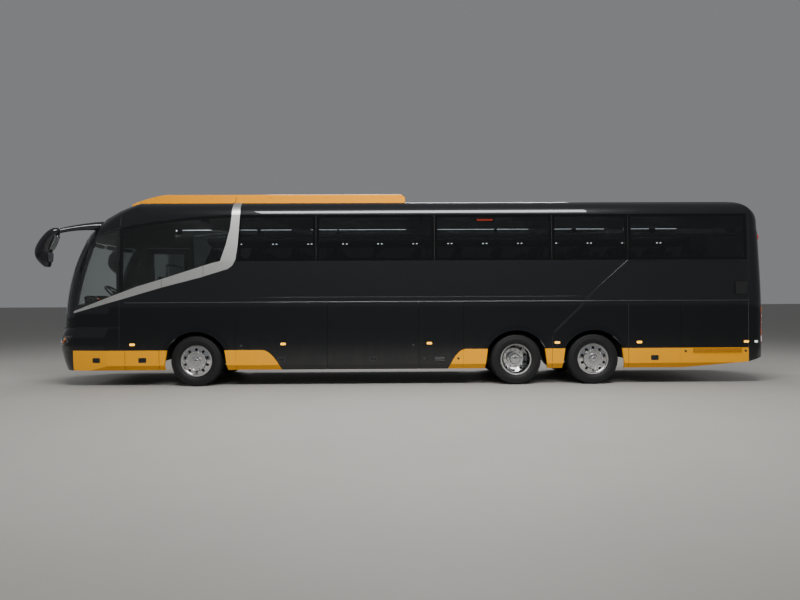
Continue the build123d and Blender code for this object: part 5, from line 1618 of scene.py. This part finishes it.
STEERING_CENTRE = Vector((5.88, 0.74, 1.79))
STEERING_AXIS = Vector((-0.66, 0.0, 0.75)).normalized()
DASH = surface_of("dashboard")
# Face of the dashboard towards the driver
FACE_X = 6.138
# Layers of the instrument hood: offset, outline
HOOD = [(-0.30, (0.15, 0.10, 0.02)), (-0.27, (0.22, 0.16, 0.05))]
HOOD += [(-offset, outline) for offset, outline in reversed(HOOD)]
# Section of the rolled blinds behind the windscreen
BLIND = [(-0.035, 0.030), (0.035, 0.030), (0.042, 0.0), (0.035, -0.028), (-0.035, -0.028), (-0.042, 0.0)]


def dash_top(x, y):
    return DASH.ray_cast(Vector((x, y, 1.72)), Vector((0, 0, -1)))[0].z


def towards_driver(x, y, z):
    """Matrix of a panel that faces rearwards."""
    return axes((x, y, z), (0, 1, 0), (-1, 0, 0), (0, 0, 1))


def fit_cab():
    side = Vector((0, 1, 0))
    ahead = side.cross(STEERING_AXIS).normalized()
    plane = axes(STEERING_CENTRE, side, STEERING_AXIS, ahead)
    wheel = Piece("steering_wheel_dress")
    section = [(-0.016, -0.005), (0.016, -0.005), (0.012, 0.006), (-0.012, 0.006)]
    for angle in (200, 340, 250, 290):
        reach = Vector((math.cos(math.radians(angle)), 0, math.sin(math.radians(angle))))
        spoke = [reach * 0.05 + Vector((0, 0.012, 0)), reach * 0.13 + Vector((0, 0.002, 0)), reach * 0.212]
        wheel.add(swept(spoke, section), "black_plastic", plane)
    wheel.add(capped([(0.0, 0.072), (0.030, 0.070), (0.040, 0.055), (0.042, 0.0)], 36), "cab_plastic", plane)
    wheel.add(capped([(0.041, 0.024), (0.045, 0.022), (0.046, 0.0)], 24), "black_plastic", plane)
    for x in (-0.052, 0.052):
        wheel.add(shifted(pillow(0.022, 0.050, 0.008, 0.012, 0.002), (x, 0.030, 0)), "black_plastic", plane)
    start = STEERING_CENTRE - STEERING_AXIS * 0.09
    for y in (-1, 1):
        stalk = [start, start + side * 0.07 * y, start + side * 0.17 * y - ahead * 0.02]
        wheel.add(tube(stalk, 0.008, 8), "black_plastic")
    wheel.ride()

    panel = Piece("dashboard_dress")
    hood_z = dash_top(6.19, 0.74)
    panel.add(layered(HOOD), "cab_plastic", Matrix.Translation((6.245, 0.74, hood_z + 0.055)))
    cluster = towards_driver(6.134, 0.74, hood_z + 0.062)
    panel.add(pillow(0.46, 0.118, 0.02, 0.004, 0.001), "screen", cluster)
    dial = turned([(0.003, 0.052), (0.009, 0.050), (0.009, 0.046), (0.003, 0.045)], 36)
    needle = block((-0.0015, 0.005, -0.006), (0.0015, 0.0065, 0.038), 0.0005)
    needle = moved(needle, Matrix.Rotation(0.9, 4, "Y"))
    for x in (-0.145, 0.145):
        panel.add(shifted(dial, (x, 0, 0)), "nut", cluster)
        panel.add(shifted(needle, (x, 0, 0)), "sign", cluster)
    panel.add(pillow(0.13, 0.085, 0.006, 0.0065, 0.001), "screen", cluster)
    console = towards_driver(FACE_X, 0.255, 1.535)
    panel.add(pillow(0.26, 0.095, 0.012, 0.010, 0.002), "gloss_plastic", console)
    panel.add(shifted(pillow(0.225, 0.072, 0.006, 0.0015, 0.0005), (0, 0.010, 0)), "screen", console)
    knob = shifted(capped([(0.0, 0.011), (0.014, 0.010), (0.016, 0.0)], 16), (-0.10, 0.006, -0.070))
    knobs = repeated(knob, "black_plastic", ROW, Count=5, Step=(0.05, 0.0, 0.0))
    panel.add(knobs, "black_plastic", console)
    switch = shifted(pillow(0.026, 0.034, 0.003, 0.009, 0.002), (-0.11, 0.002, -0.018))
    grid = {"Columns": 7, "Column_Step": (0.036, 0.0, 0.0), "Rows": 2, "Row_Step": (0.0, 0.0, 0.044)}
    switches = repeated(switch, "black_plastic", GRID, **grid)
    panel.add(switches, "black_plastic", towards_driver(FACE_X, 1.035, 1.535))
    for y in (0.90, 0.30, -0.20):
        vent = axes((6.42, y, dash_top(6.42, y)), (0, 1, 0), (0, 0, 1), (1, 0, 0))
        panel.add(frame_ring(0.36, 0.07, 0.012, 0.008, 0.008), "black_plastic", vent)
        panel.add(slats(0.35, 0.06, 4, 0.007), "black_plastic", vent)
    tray_z = dash_top(6.30, -0.20)
    panel.add(block((6.20, -0.42, tray_z), (6.36, 0.05, tray_z + 0.030), 0.006), "cab_plastic")
    for y, width in ((0.60, 0.055), (0.78, 0.075), (0.92, 0.055)):
        pedal = axes((6.235, y, 1.075), (0, 1, 0), (-0.82, 0, 0.57), (0.57, 0, 0.82))
        panel.add(pillow(width, 0.13, 0.010, 0.012, 0.003), "rubber", pedal)
        panel.add(tube([(6.245, y, 1.09), (6.30, y, 1.22)], 0.008, 8), "steel")
    panel.add(block((5.30, 0.36, CAB_FLOOR_Z + 0.001), (5.68, 0.46, 1.36), 0.015), "cab_plastic")
    lever = [(5.60, 0.42, CAB_FLOOR_Z + 0.002), (5.60, 0.42, 1.42), (5.62, 0.42, 1.48)]
    panel.add(tube(lever, 0.010, 10), "steel")
    ball = capped([(-0.03, 0.0), (-0.024, 0.018), (0.0, 0.024), (0.026, 0.018), (0.032, 0.0)], 16)
    panel.add(shifted(moved(ball, UPRIGHT), (5.62, 0.42, 1.49)), "black_plastic")
    panel.ride()

    shade = Piece("windscreen_shade")
    for low, high in ((0.08, 0.98), (-0.98, -0.08)):
        hits = [skin_hit((5.6, low + (high - low) * step / 6, 2.80), (1, 0, 0)) for step in range(7)]
        hits = [(place + Vector((-0.040, 0, 0)), normal) for place, normal in hits]
        shade.add(laid(hits, BLIND), "rack_plastic")
    head = ceiling(5.95, 0.0)[0].z
    arm = [(5.95, 0, head + 0.003), (5.97, 0, head - 0.10), (6.02, 0, head - 0.16)]
    shade.add(tube(arm, 0.009, 8), "black_plastic")
    inner_mirror = axes((6.02, 0, head - 0.20), (0, 1, 0), (-0.96, 0, -0.28), (0.28, 0, -0.96))
    shade.add(pillow(0.36, 0.13, 0.04, 0.022, 0.006), "black_plastic", inner_mirror)
    shade.add(shifted(pillow(0.335, 0.108, 0.034, 0.0015, 0.0005), (0, 0.022, 0)), "mirror", inner_mirror)
    shade.ride()


# Nose: screen border, headlamps, grille, plate, wipers and mirrors

SCREEN_EDGE = [(-1.075, 1.30), (-0.99, 1.185), (0.99, 1.185), (1.075, 1.30)]
SCREEN_EDGE += [(1.085, 2.75), (1.0, 2.885), (-1.0, 2.885), (-1.085, 2.75)]
HEADLAMP = [(0.655, 0.760), (1.000, 0.775), (1.150, 0.860), (1.168, 0.968), (1.060, 0.958), (0.705, 0.838)]
# Reflectors behind the lens: y, z, radius
REFLECTORS = [(0.760, 0.806, 0.030), (0.860, 0.836, 0.040), (0.975, 0.876, 0.046)]
# Light guides behind the lens: points, width, depths, step, finish
LIGHT_GUIDES = [
    ([(0.690, 0.777), (0.985, 0.792)], 0.012, (-0.016, -0.006), 0.06, "white_lens"),
    ([(1.045, 0.835), (1.115, 0.905), (1.130, 0.950)], 0.024, (-0.020, -0.007), 0.04, "turn_lens"),
]
GRILLE_EDGE = [(-0.66, 0.962), (0.66, 0.962), (0.72, 1.010), (0.66, 1.058), (-0.66, 1.058), (-0.72, 1.010)]
# Level bars of the two grilles: reach to each side, heights, width, finish, and the bright edge round them
GRILLES = [
    (0.62, (0.985, 1.010, 1.035), 0.012, "gloss_plastic", GRILLE_EDGE),
    (0.44, (0.375, 0.410, 0.445), 0.010, "black_plastic", None),
]
# Fog lamp: profile, sides, closed on itself, finish
FOG_LAMP = [
    ([(-0.004, 0.062), (0.010, 0.060), (0.012, 0.050), (-0.004, 0.046)], 36, True, "black_plastic"),
    ([(0.001, 0.047), (0.001, 0.020), (0.004, 0.0)], 32, False, "reflector"),
    ([(0.002, 0.047), (0.006, 0.046), (0.010, 0.028), (0.011, 0.0)], 32, False, "clear_lens"),
]
# Blank number plate
PLATE = pillow(0.520, 0.112, 0.008, 0.003, 0.001)
WIPER_Y = (-0.02, 0.90)
WIPER_Z = 1.125


def bowl_shape(radius):
    lip = [(-0.030, radius * 0.5), (-0.012, radius * 0.92), (-0.002, radius), (-0.002, radius + 0.004)]
    return capped([(-0.030, 0.0), *lip, (-0.034, radius + 0.003), (-0.034, 0.0)], 32)


def bulb_shape(radius):
    return capped([(-0.028, 0.0), (-0.028, radius * 0.45), (-0.016, radius * 0.40), (-0.008, 0.0)], 24)


def fit_nose():
    border = Piece("windscreen_border")
    border.add(strip(SCREEN_EDGE, bead(0.030, 0.0022, 0.002), nose, 0.12, closed=True), "rubber")
    border.ride()

    lamps = Piece("headlamp_insides")
    rims = Piece("headlamp_rims")
    for side in SIDES.values():
        for y, z, radius in REFLECTORS:
            spot = nose(side * y, z)[0] - Vector((0.006, 0, 0))
            place = axes(spot, (0, -side, 0), (1, 0, 0), (0, 0, 1))
            lamps.add(bowl_shape(radius), "reflector", place)
            lamps.add(bulb_shape(radius), "white_lens", place)
        for points, width, (low, high), step, finish in LIGHT_GUIDES:
            half = width / 2
            section = [(-half, low), (half, low), (half, high), (-half, high)]
            lamps.add(strip([(y * side, z) for y, z in points], section, nose, step), finish)
        outline = [(y * side, z) for y, z in HEADLAMP]
        rims.add(strip(outline, bead(0.012, 0.0025, 0.004), nose, 0.05, closed=True), "black_plastic")
    lamps.ride()
    rims.ride()

    face = Piece("nose_grille")
    for reach, heights, width, finish, edge in GRILLES:
        for z in heights:
            face.add(strip([(-reach, z), (reach, z)], bead(width, 0.006), nose, 0.12), finish)
        if edge:
            face.add(strip(edge, bead(0.008, 0.007), nose, 0.1, closed=True), "rail")
    for side in SIDES.values():
        place = facing(nose(side * 0.82, 0.50))
        for profile, sides, closed, finish in FOG_LAMP:
            face.add(turned(profile, sides, closed), finish, place)
        fold = [(0.30 * side, 0.640), (0.60 * side, 0.640)]
        face.add(strip(fold, bead(0.018, 0.003), nose, 0.1), "gloss_plastic")
    place = facing(nose(0.0, 0.555))
    face.add(pillow(0.535, 0.125, 0.012, 0.010, 0.003), "black_plastic", place)
    face.add(shifted(PLATE, (0, 0.010, 0)), "plate", place)
    screw = capped([(0.012, 0.006), (0.0150, 0.005), (0.0155, 0.0)], 12)
    for x in (-0.20, 0.20):
        face.add(shifted(screw, (x, 0, 0)), "nut", place)
    face.add(strip([(-1.0, 0.70), (1.0, 0.70)], bead(0.006, 0.0012), nose, 0.1), "rubber")
    for y in (-0.66, -0.54):
        face.add(strip([(y, 0.335), (y, 0.695)], bead(0.005, 0.0010), nose, 0.06), "rubber")
    spot = nose(-0.6, 0.62)[0] + Vector((-0.012, 0, -0.12))
    socket_rim = frame_ring(0.116, 0.086, 0.012, 0.006, 0.010)
    face.add(socket_rim, "black_plastic", axes(spot, (0, 1, 0), (1, 0, 0), (0, 0, 1)))
    face.ride()


def fit_wipers():
    arms = Piece("wiper_fittings")
    boss = capped([(-0.004, 0.026), (0.012, 0.026), (0.020, 0.018), (0.022, 0.0)], 24)
    for y in WIPER_Y:
        arms.add(boss, "black_plastic", facing(nose(y, WIPER_Z)))
    arms.ride()


MIRRORS = surface_of("mirrors")
MIRROR_X = 6.86
MIRROR_Y = 1.44
# Glasses of a mirror: foot, head, width
MIRROR_GLASSES = [(2.395, 2.575, 0.155), (2.610, 2.905, 0.180)]


def fit_mirrors():
    for name, side in SIDES.items():
        glass = Piece(f"mirror_glass_{name}")
        for low, high, width in MIRROR_GLASSES:
            spots = [Vector((6.0, side * MIRROR_Y, z)) for z in (low + 0.02, high - 0.02)]
            foot, head = (MIRRORS.ray_cast(spot, Vector((1, 0, 0)))[0] for spot in spots)
            up = (head - foot).normalized()
            out = up.cross(Vector((0, 1, 0))).normalized()
            out = out if out.x < 0 else -out
            place = axes((foot + head) / 2 - out * 0.022, (0, 1, 0), out, up)
            height = high - low
            back = (-0.02, (width - 0.03, height - 0.03, 0.03))
            middle = (0.014, (width + 0.006, height + 0.004, 0.036))
            front = (0.024, (width, height - 0.004, 0.034))
            glass.add(layered([back, middle, front]), "black_plastic", place)
            pane = pillow(width - 0.016, height - 0.020, 0.028, 0.0015, 0.0005)
            glass.add(shifted(pane, (0, 0.024, 0)), "mirror", place)
        hits = []
        for step in range(28):
            angle = 2 * math.pi * step / 28
            outward = Vector((math.cos(angle), math.sin(angle), 0))
            start = Vector((MIRROR_X, side * MIRROR_Y, 2.60)) + outward * 0.6
            hits.append(MIRRORS.ray_cast(start, -outward)[:2])
        glass.add(laid(hits, bead(0.006, 0.001), closed=True), "rubber")
        glass.ride()


# Tail: lamps, lid, window border, bumper, plate

# Lamp bands at the tail's corners: z, height, finish
TAIL_BANDS = [(0.865, 0.11, "white_lens"), (1.000, 0.11, "turn_lens"), (1.430, 0.09, "turn_lens")]
TAIL_LAMP_RING = [(0.0, 0.043), (0.004, 0.043), (0.006, 0.037), (0.003, 0.034)]
TAIL_LAMP_LENS = [(0.0, 0.033), (0.005, 0.031), (0.008, 0.018), (0.009, 0.0)]
REAR_WINDOW = [(-0.86, 2.50), (0.86, 2.50), (0.88, 2.54), (0.88, 3.07)]
REAR_WINDOW += [(0.86, 3.11), (-0.86, 3.11), (-0.88, 3.07), (-0.88, 2.54)]


def fit_tail():
    lights = Piece("tail_lamp_bands")
    for side in SIDES.values():
        for z, height, finish in TAIL_BANDS:
            half = height / 2
            left = [(-half, -0.003), (-half, 0.003), (-half + 0.006, 0.006)]
            section = left + [(-x, y) for x, y in reversed(left)]
            lights.add(strip([(side * 1.098, z), (side * 1.178, z)], section, tail, 0.02), finish)
        for z in (1.155, 1.290):
            place = facing(tail(side * 1.138, z))
            lights.add(capped(TAIL_LAMP_RING, 32), "nut", place)
            lights.add(capped(TAIL_LAMP_LENS, 28), "red_lens", place)
        rim = [(side * y, z) for y, z in ((1.075, 0.785), (1.186, 0.785), (1.186, 1.515), (1.075, 1.515))]
        lights.add(strip(rim, bead(0.010, 0.003), tail, 0.06, closed=True), "black_plastic")
    lights.add(pillow(0.52, 0.030, 0.010, 0.010, 0.003), "red_lens", facing(tail(0.0, 3.205)))
    lights.ride()

    lid = Piece("engine_lid_dress")
    bezel, back, blades = (0.74, 0.30, 0.02, 0.012, 0.008), (0.72, 0.28, 0.012), (0.72, 0.28, 10, 0.010)
    for z in (1.19, 1.59):
        for y in (-0.52, 0.52):
            add_grille(lid, facing(tail(y, z)), bezel, back, blades)
    place = facing(tail(0.0, 0.845))
    lid.add(pillow(0.56, 0.15, 0.018, 0.008, 0.003), "black_plastic", place)
    lid.add(shifted(PLATE, (0, 0.008, 0)), "plate", place)
    for y in (-0.19, 0.19):
        place = facing(tail(y, 0.945))
        lid.add(block((-0.035, 0.0, -0.012), (0.035, 0.022, 0.012), 0.004), "black_plastic", place)
        lid.add(block((-0.028, 0.006, -0.0135), (0.028, 0.018, -0.0115), 0.0005), "white_lens", place)
    for y in (-0.62, 0.62):
        add_handle(lid, facing(tail(y, 0.735)))
    lid.ride("engine_lid")

    rear = Piece("rear_wall_dress")
    rear.add(strip(REAR_WINDOW, bead(0.024, 0.0022), tail, 0.1, closed=True), "rubber")
    for reach, z in ((1.06, 2.25), (1.10, 0.612)):
        rear.add(strip([(-reach, z), (reach, z)], bead(0.006, 0.0015), tail, 0.12), "rubber")
    for y in (-0.52, 0.52):
        rear.add(pillow(0.09, 0.026, 0.010, 0.006, 0.002), "red_lens", facing(tail(y, 0.588)))
    sensor = shifted(capped([(0.0, 0.012), (0.003, 0.012), (0.004, 0.009), (0.004, 0.0)], 20), (0, 0, 0.03))
    for y in (-0.75, -0.27, 0.27, 0.75):
        rear.add(sensor, "black_plastic", facing(tail(y, 0.60)))
    place = facing(tail(0.0, 3.250))
    rear.add(block((-0.045, -0.004, -0.020), (0.045, 0.035, 0.022), 0.008), "black_plastic", place)
    rear.add(capped([(0.034, 0.012), (0.038, 0.012), (0.039, 0.0)], 16), "screen", place)
    for side in SIDES.values():
        rear.add(pillow(0.052, 0.10, 0.02, 0.014, 0.004), "red_lens", facing(tail(side * 1.10, 2.86)))
    for side in SIDES.values():
        hits = [flank(REAR_EDGE_X, 0.60 + 0.13 * i, side) for i in range(20)]
        rear.add(laid(hits, bead(0.005, 0.0012)), "rubber")
    rear.ride()


# Roof: cooler fans and louvres on the fairing, seals and frames of the hatches, aerial

FAN_RADIUS = 0.215
FAN_X = (1.25, 1.90, 3.55, 4.20)
FAN_Y = (-0.34, 0.34)
LOUVRE_X = (2.45, 2.98)
LOUVRE_Y = (-0.36, 0.36)
# Joint of the fairing's two halves, in line with the sash
FAIRING_JOINT_X = 3.42
# Aerial's layers: height, outline, and how far the layer lies behind the first
FIN = [(-0.004, (0.060, 0.200, 0.028), 0.0), (0.020, (0.040, 0.160, 0.019), 0.0)]
FIN += [(0.055, (0.012, 0.090, 0.0055), 0.02)]


def ring_at(radius):
    outer = radius + 0.0035
    return turned([(0.008, radius), (0.0115, radius), (0.0115, outer), (0.008, outer)], 40)


def fan_guard():
    """Guard rings and bars over a fan's hub and blades."""
    outer = FAN_RADIUS
    lip = [(-0.004, outer + 0.022), (0.010, outer + 0.018)]
    rim = turned([*lip, (0.010, outer), (-0.004, outer - 0.004)], 48)
    hub = capped([(0.001, 0.052), (0.010, 0.050), (0.012, 0.0)], 28)
    blade = block((0.045, 0.0015, -0.034), (outer - 0.012, 0.0035, 0.034), 0.0008)
    blades = round_wheel(moved(blade, Matrix.Rotation(0.05, 4, "X")), "black_plastic", 7)
    bar = block((0.045, 0.0075, -0.002), (outer + 0.002, 0.0105, 0.002), 0.0006)
    bars = round_wheel(bar, "black_plastic", 12)
    return joined(rim, *(ring_at(radius) for radius in (0.06, 0.10, 0.14, 0.18)), hub, blades, bars)


def fit_roof():
    cooler = Piece("roof_cooler_dress")
    # Dark disc under each fan guard: painted shade in the fan's well
    shade_disc, guard = capped([(0.001, FAN_RADIUS), (0.002, 0.0)], 40), fan_guard()
    for x in FAN_X:
        for y in FAN_Y:
            cooler.add(shade_disc, "rubber", on_roof(x, y)).add(guard, "black_plastic", on_roof(x, y))
    bezel, back, blades = (0.48, 0.44, 0.02, 0.012, 0.009), (0.465, 0.425, 0.012), (0.47, 0.43, 14)
    for x in LOUVRE_X:
        for y in LOUVRE_Y:
            add_grille(cooler, on_roof(x, y), bezel, back, blades)
    for x in (0.80, 2.22, FAIRING_JOINT_X, 4.62):
        cooler.add(strip([(x, -0.80), (x, 0.80)], bead(0.005, 0.0012), top, 0.1), "rubber")
    joint = [(FAIRING_JOINT_X, 3.555), (FAIRING_JOINT_X, 3.76)]
    bolt = capped([(0.0, 0.016), (0.003, 0.016), (0.005, 0.010), (0.005, 0)], 16)
    for side in SIDES.values():
        cooler.add(strip(joint, bead(0.008, 0.0015), partial(flank, side=side), 0.05), "rubber")
        for x in (0.5, 1.6, 2.7, 3.9, 5.0):
            cooler.add(bolt, "fairing", on_roof(x, side * 0.86))
    cooler.ride()

    for body, x in zip(HATCHES, (-1.60, -5.20)):
        hatch = Piece(f"{body}_dress")
        for y in (-0.20, -0.10, 0.0, 0.10, 0.20):
            hatch.add(strip([(x - 0.24, y), (x + 0.24, y)], bead(0.018, 0.006), top, 0.08), "roof")
        rim = [(x + 0.29 * ahead, 0.29 * left) for ahead, left in ((-1, -1), (1, -1), (1, 1), (-1, 1))]
        hatch.add(strip(rim, bead(0.010, 0.003), top, 0.08, closed=True), "rubber")
        hatch.ride(body)

    extras = Piece("roof_fittings")
    fin = stacked([(y, [(u, v - back) for u, v in rounded(*size)]) for y, size, back in FIN])
    extras.add(fin, "black_plastic", on_roof(-0.55, 0.0))
    for side in SIDES.values():
        extras.add(strip([(-6.3, side * 1.06), (5.9, side * 1.06)], bead(0.014, 0.004), top, 0.3), "roof")
    for x in (-2.60, -3.75, -6.10):
        extras.add(strip([(x, -1.02), (x, 1.02)], bead(0.010, 0.0025), top, 0.12), "roof")
    cowl = capped([(-0.004, 0.13), (0.020, 0.13), (0.034, 0.10), (0.040, 0.0)], 36)
    for x in (-2.9, -4.2):
        extras.add(cowl, "black_plastic", on_roof(x, 0.0))
    extras.ride()


# Underside: air tanks, bellows, brake chambers, silencer, pipes

AIR_TANKS = [(5.15, -0.30, 0.60), (5.45, -0.30, 0.60), (-5.05, -0.30, 0.62)]
# Air springs: x, foot, height
AIR_SPRINGS = [(x, 0.64, 0.09) for x in (FRONT_AXLE_X + 0.30, DRIVE_AXLE_X + 0.34, TAG_AXLE_X - 0.30)]
# Bellows at its full height: offset, radius
LOBES = [(0.0, 0.075), (0.006, 0.105), (0.022, 0.118), (0.040, 0.105), (0.046, 0.085)]
LOBES += [(0.052, 0.105), (0.068, 0.118), (0.084, 0.105), (0.090, 0.075)]
# Brake chambers: x, distance from the middle
CHAMBERS = [(FRONT_AXLE_X - 0.20, 0.46), (DRIVE_AXLE_X + 0.26, 0.70), (TAG_AXLE_X - 0.20, 0.70)]
CHAMBER_Z = 0.56
PIPE_Z = 0.655


def drum(start, end, radius, sides=28):
    """Tank with domed ends between two points."""
    start, end = Vector(start), Vector(end)
    along = (end - start).normalized()
    length = (end - start).length
    first = along.orthogonal().normalized()
    dome = radius * 0.35
    profile = [(0.0, 0.0), (dome * 0.25, radius * 0.6), (dome * 0.6, radius * 0.88), (dome, radius)]
    profile += [(length - v, r) for v, r in reversed(profile)]
    return moved(capped(profile, sides), axes(start, first, along, first.cross(along)))


def fit_underside():
    tanks = Piece("air_tanks")
    band_ring = turned([(-0.015, 0.107), (0.015, 0.107), (0.015, 0.110), (-0.015, 0.110)], 28)
    drain = moved(capped([(-0.012, 0.0), (-0.012, 0.010), (0.012, 0.010), (0.012, 0.0)], 10), UPRIGHT)
    for x, y, z in AIR_TANKS:
        tanks.add(drum((x, y, z), (x, -y, z), 0.105), "frame")
        for side in (-0.2, 0.2):
            tanks.add(shifted(band_ring, (x, side, z)), "steel")
            tanks.add(tube([(x, side, z + 0.10), (x, side * 1.9, 0.70)], 0.008, 6), "steel")
        tanks.add(shifted(drain, (x, 0, z - 0.112)), "nut")
    tanks.ride()

    springs = Piece("air_springs")
    foot = capped([(0.0, 0.0), (0.0, 0.085), (0.012, 0.085), (0.012, 0.0)], 24)
    for x, z, height in AIR_SPRINGS:
        bellows = [(0.0, 0.0), *((v / LOBES[-1][0] * height, r) for v, r in LOBES), (height, 0.0)]
        for side in SIDES.values():
            place = axes((x, side * 0.56, z), (1, 0, 0), (0, 0, 1), (0, -1, 0))
            springs.add(capped(bellows, 28), "rubber", place)
            springs.add(shifted(foot, (0, height - 0.002, 0)), "frame", place)
            inner, outer = sorted((side * 0.38, side * 0.64))
            low, high = (x - 0.08, inner, z + height + 0.008), (x + 0.08, outer, z + height + 0.026)
            springs.add(block(low, high, 0.003), "frame")
    springs.ride()

    chambers = Piece("brake_chambers")
    clamp = turned([(-0.008, 0.078), (-0.008, 0.088), (0.008, 0.088), (0.008, 0.078)], 24)
    z = CHAMBER_Z
    for x, reach in CHAMBERS:
        for y in (reach, -reach):
            chambers.add(drum((x - 0.07, y, z), (x + 0.07, y, z), 0.078, 24), "frame")
            chambers.add(clamp, "nut", axes((x, y, z), (0, 1, 0), (1, 0, 0), (0, 0, -1)))
            hose = [(x, y, z + 0.03), (x, y * 0.8, z + 0.10), (x, y * 0.55, 0.66)]
            chambers.add(tube(hose, 0.009, 6), "rubber")
    chambers.ride()

    pipes = Piece("exhaust_and_pipes")
    pipes.add(drum((-4.75, -0.30, 0.60), (-4.75, 0.30, 0.60), 0.13), "steel")
    pipes.add(tube([(-4.75, 0.20, 0.60), (-5.0, 0.20, 0.66), (-5.55, 0.20, 0.72)], 0.05, 14), "steel")
    for side in SIDES.values():
        line = [(x, side * 0.35, PIPE_Z) for x in (4.6, 1.0, -1.2, -3.2)]
        pipes.add(tube(line, 0.010, 6), "rubber")
    pipes.ride()


fit_seats()
fit_racks()
fit_saloon()
fit_cab()
fit_nose()
fit_wipers()
fit_mirrors()
fit_tail()
fit_roof()
fit_underside()
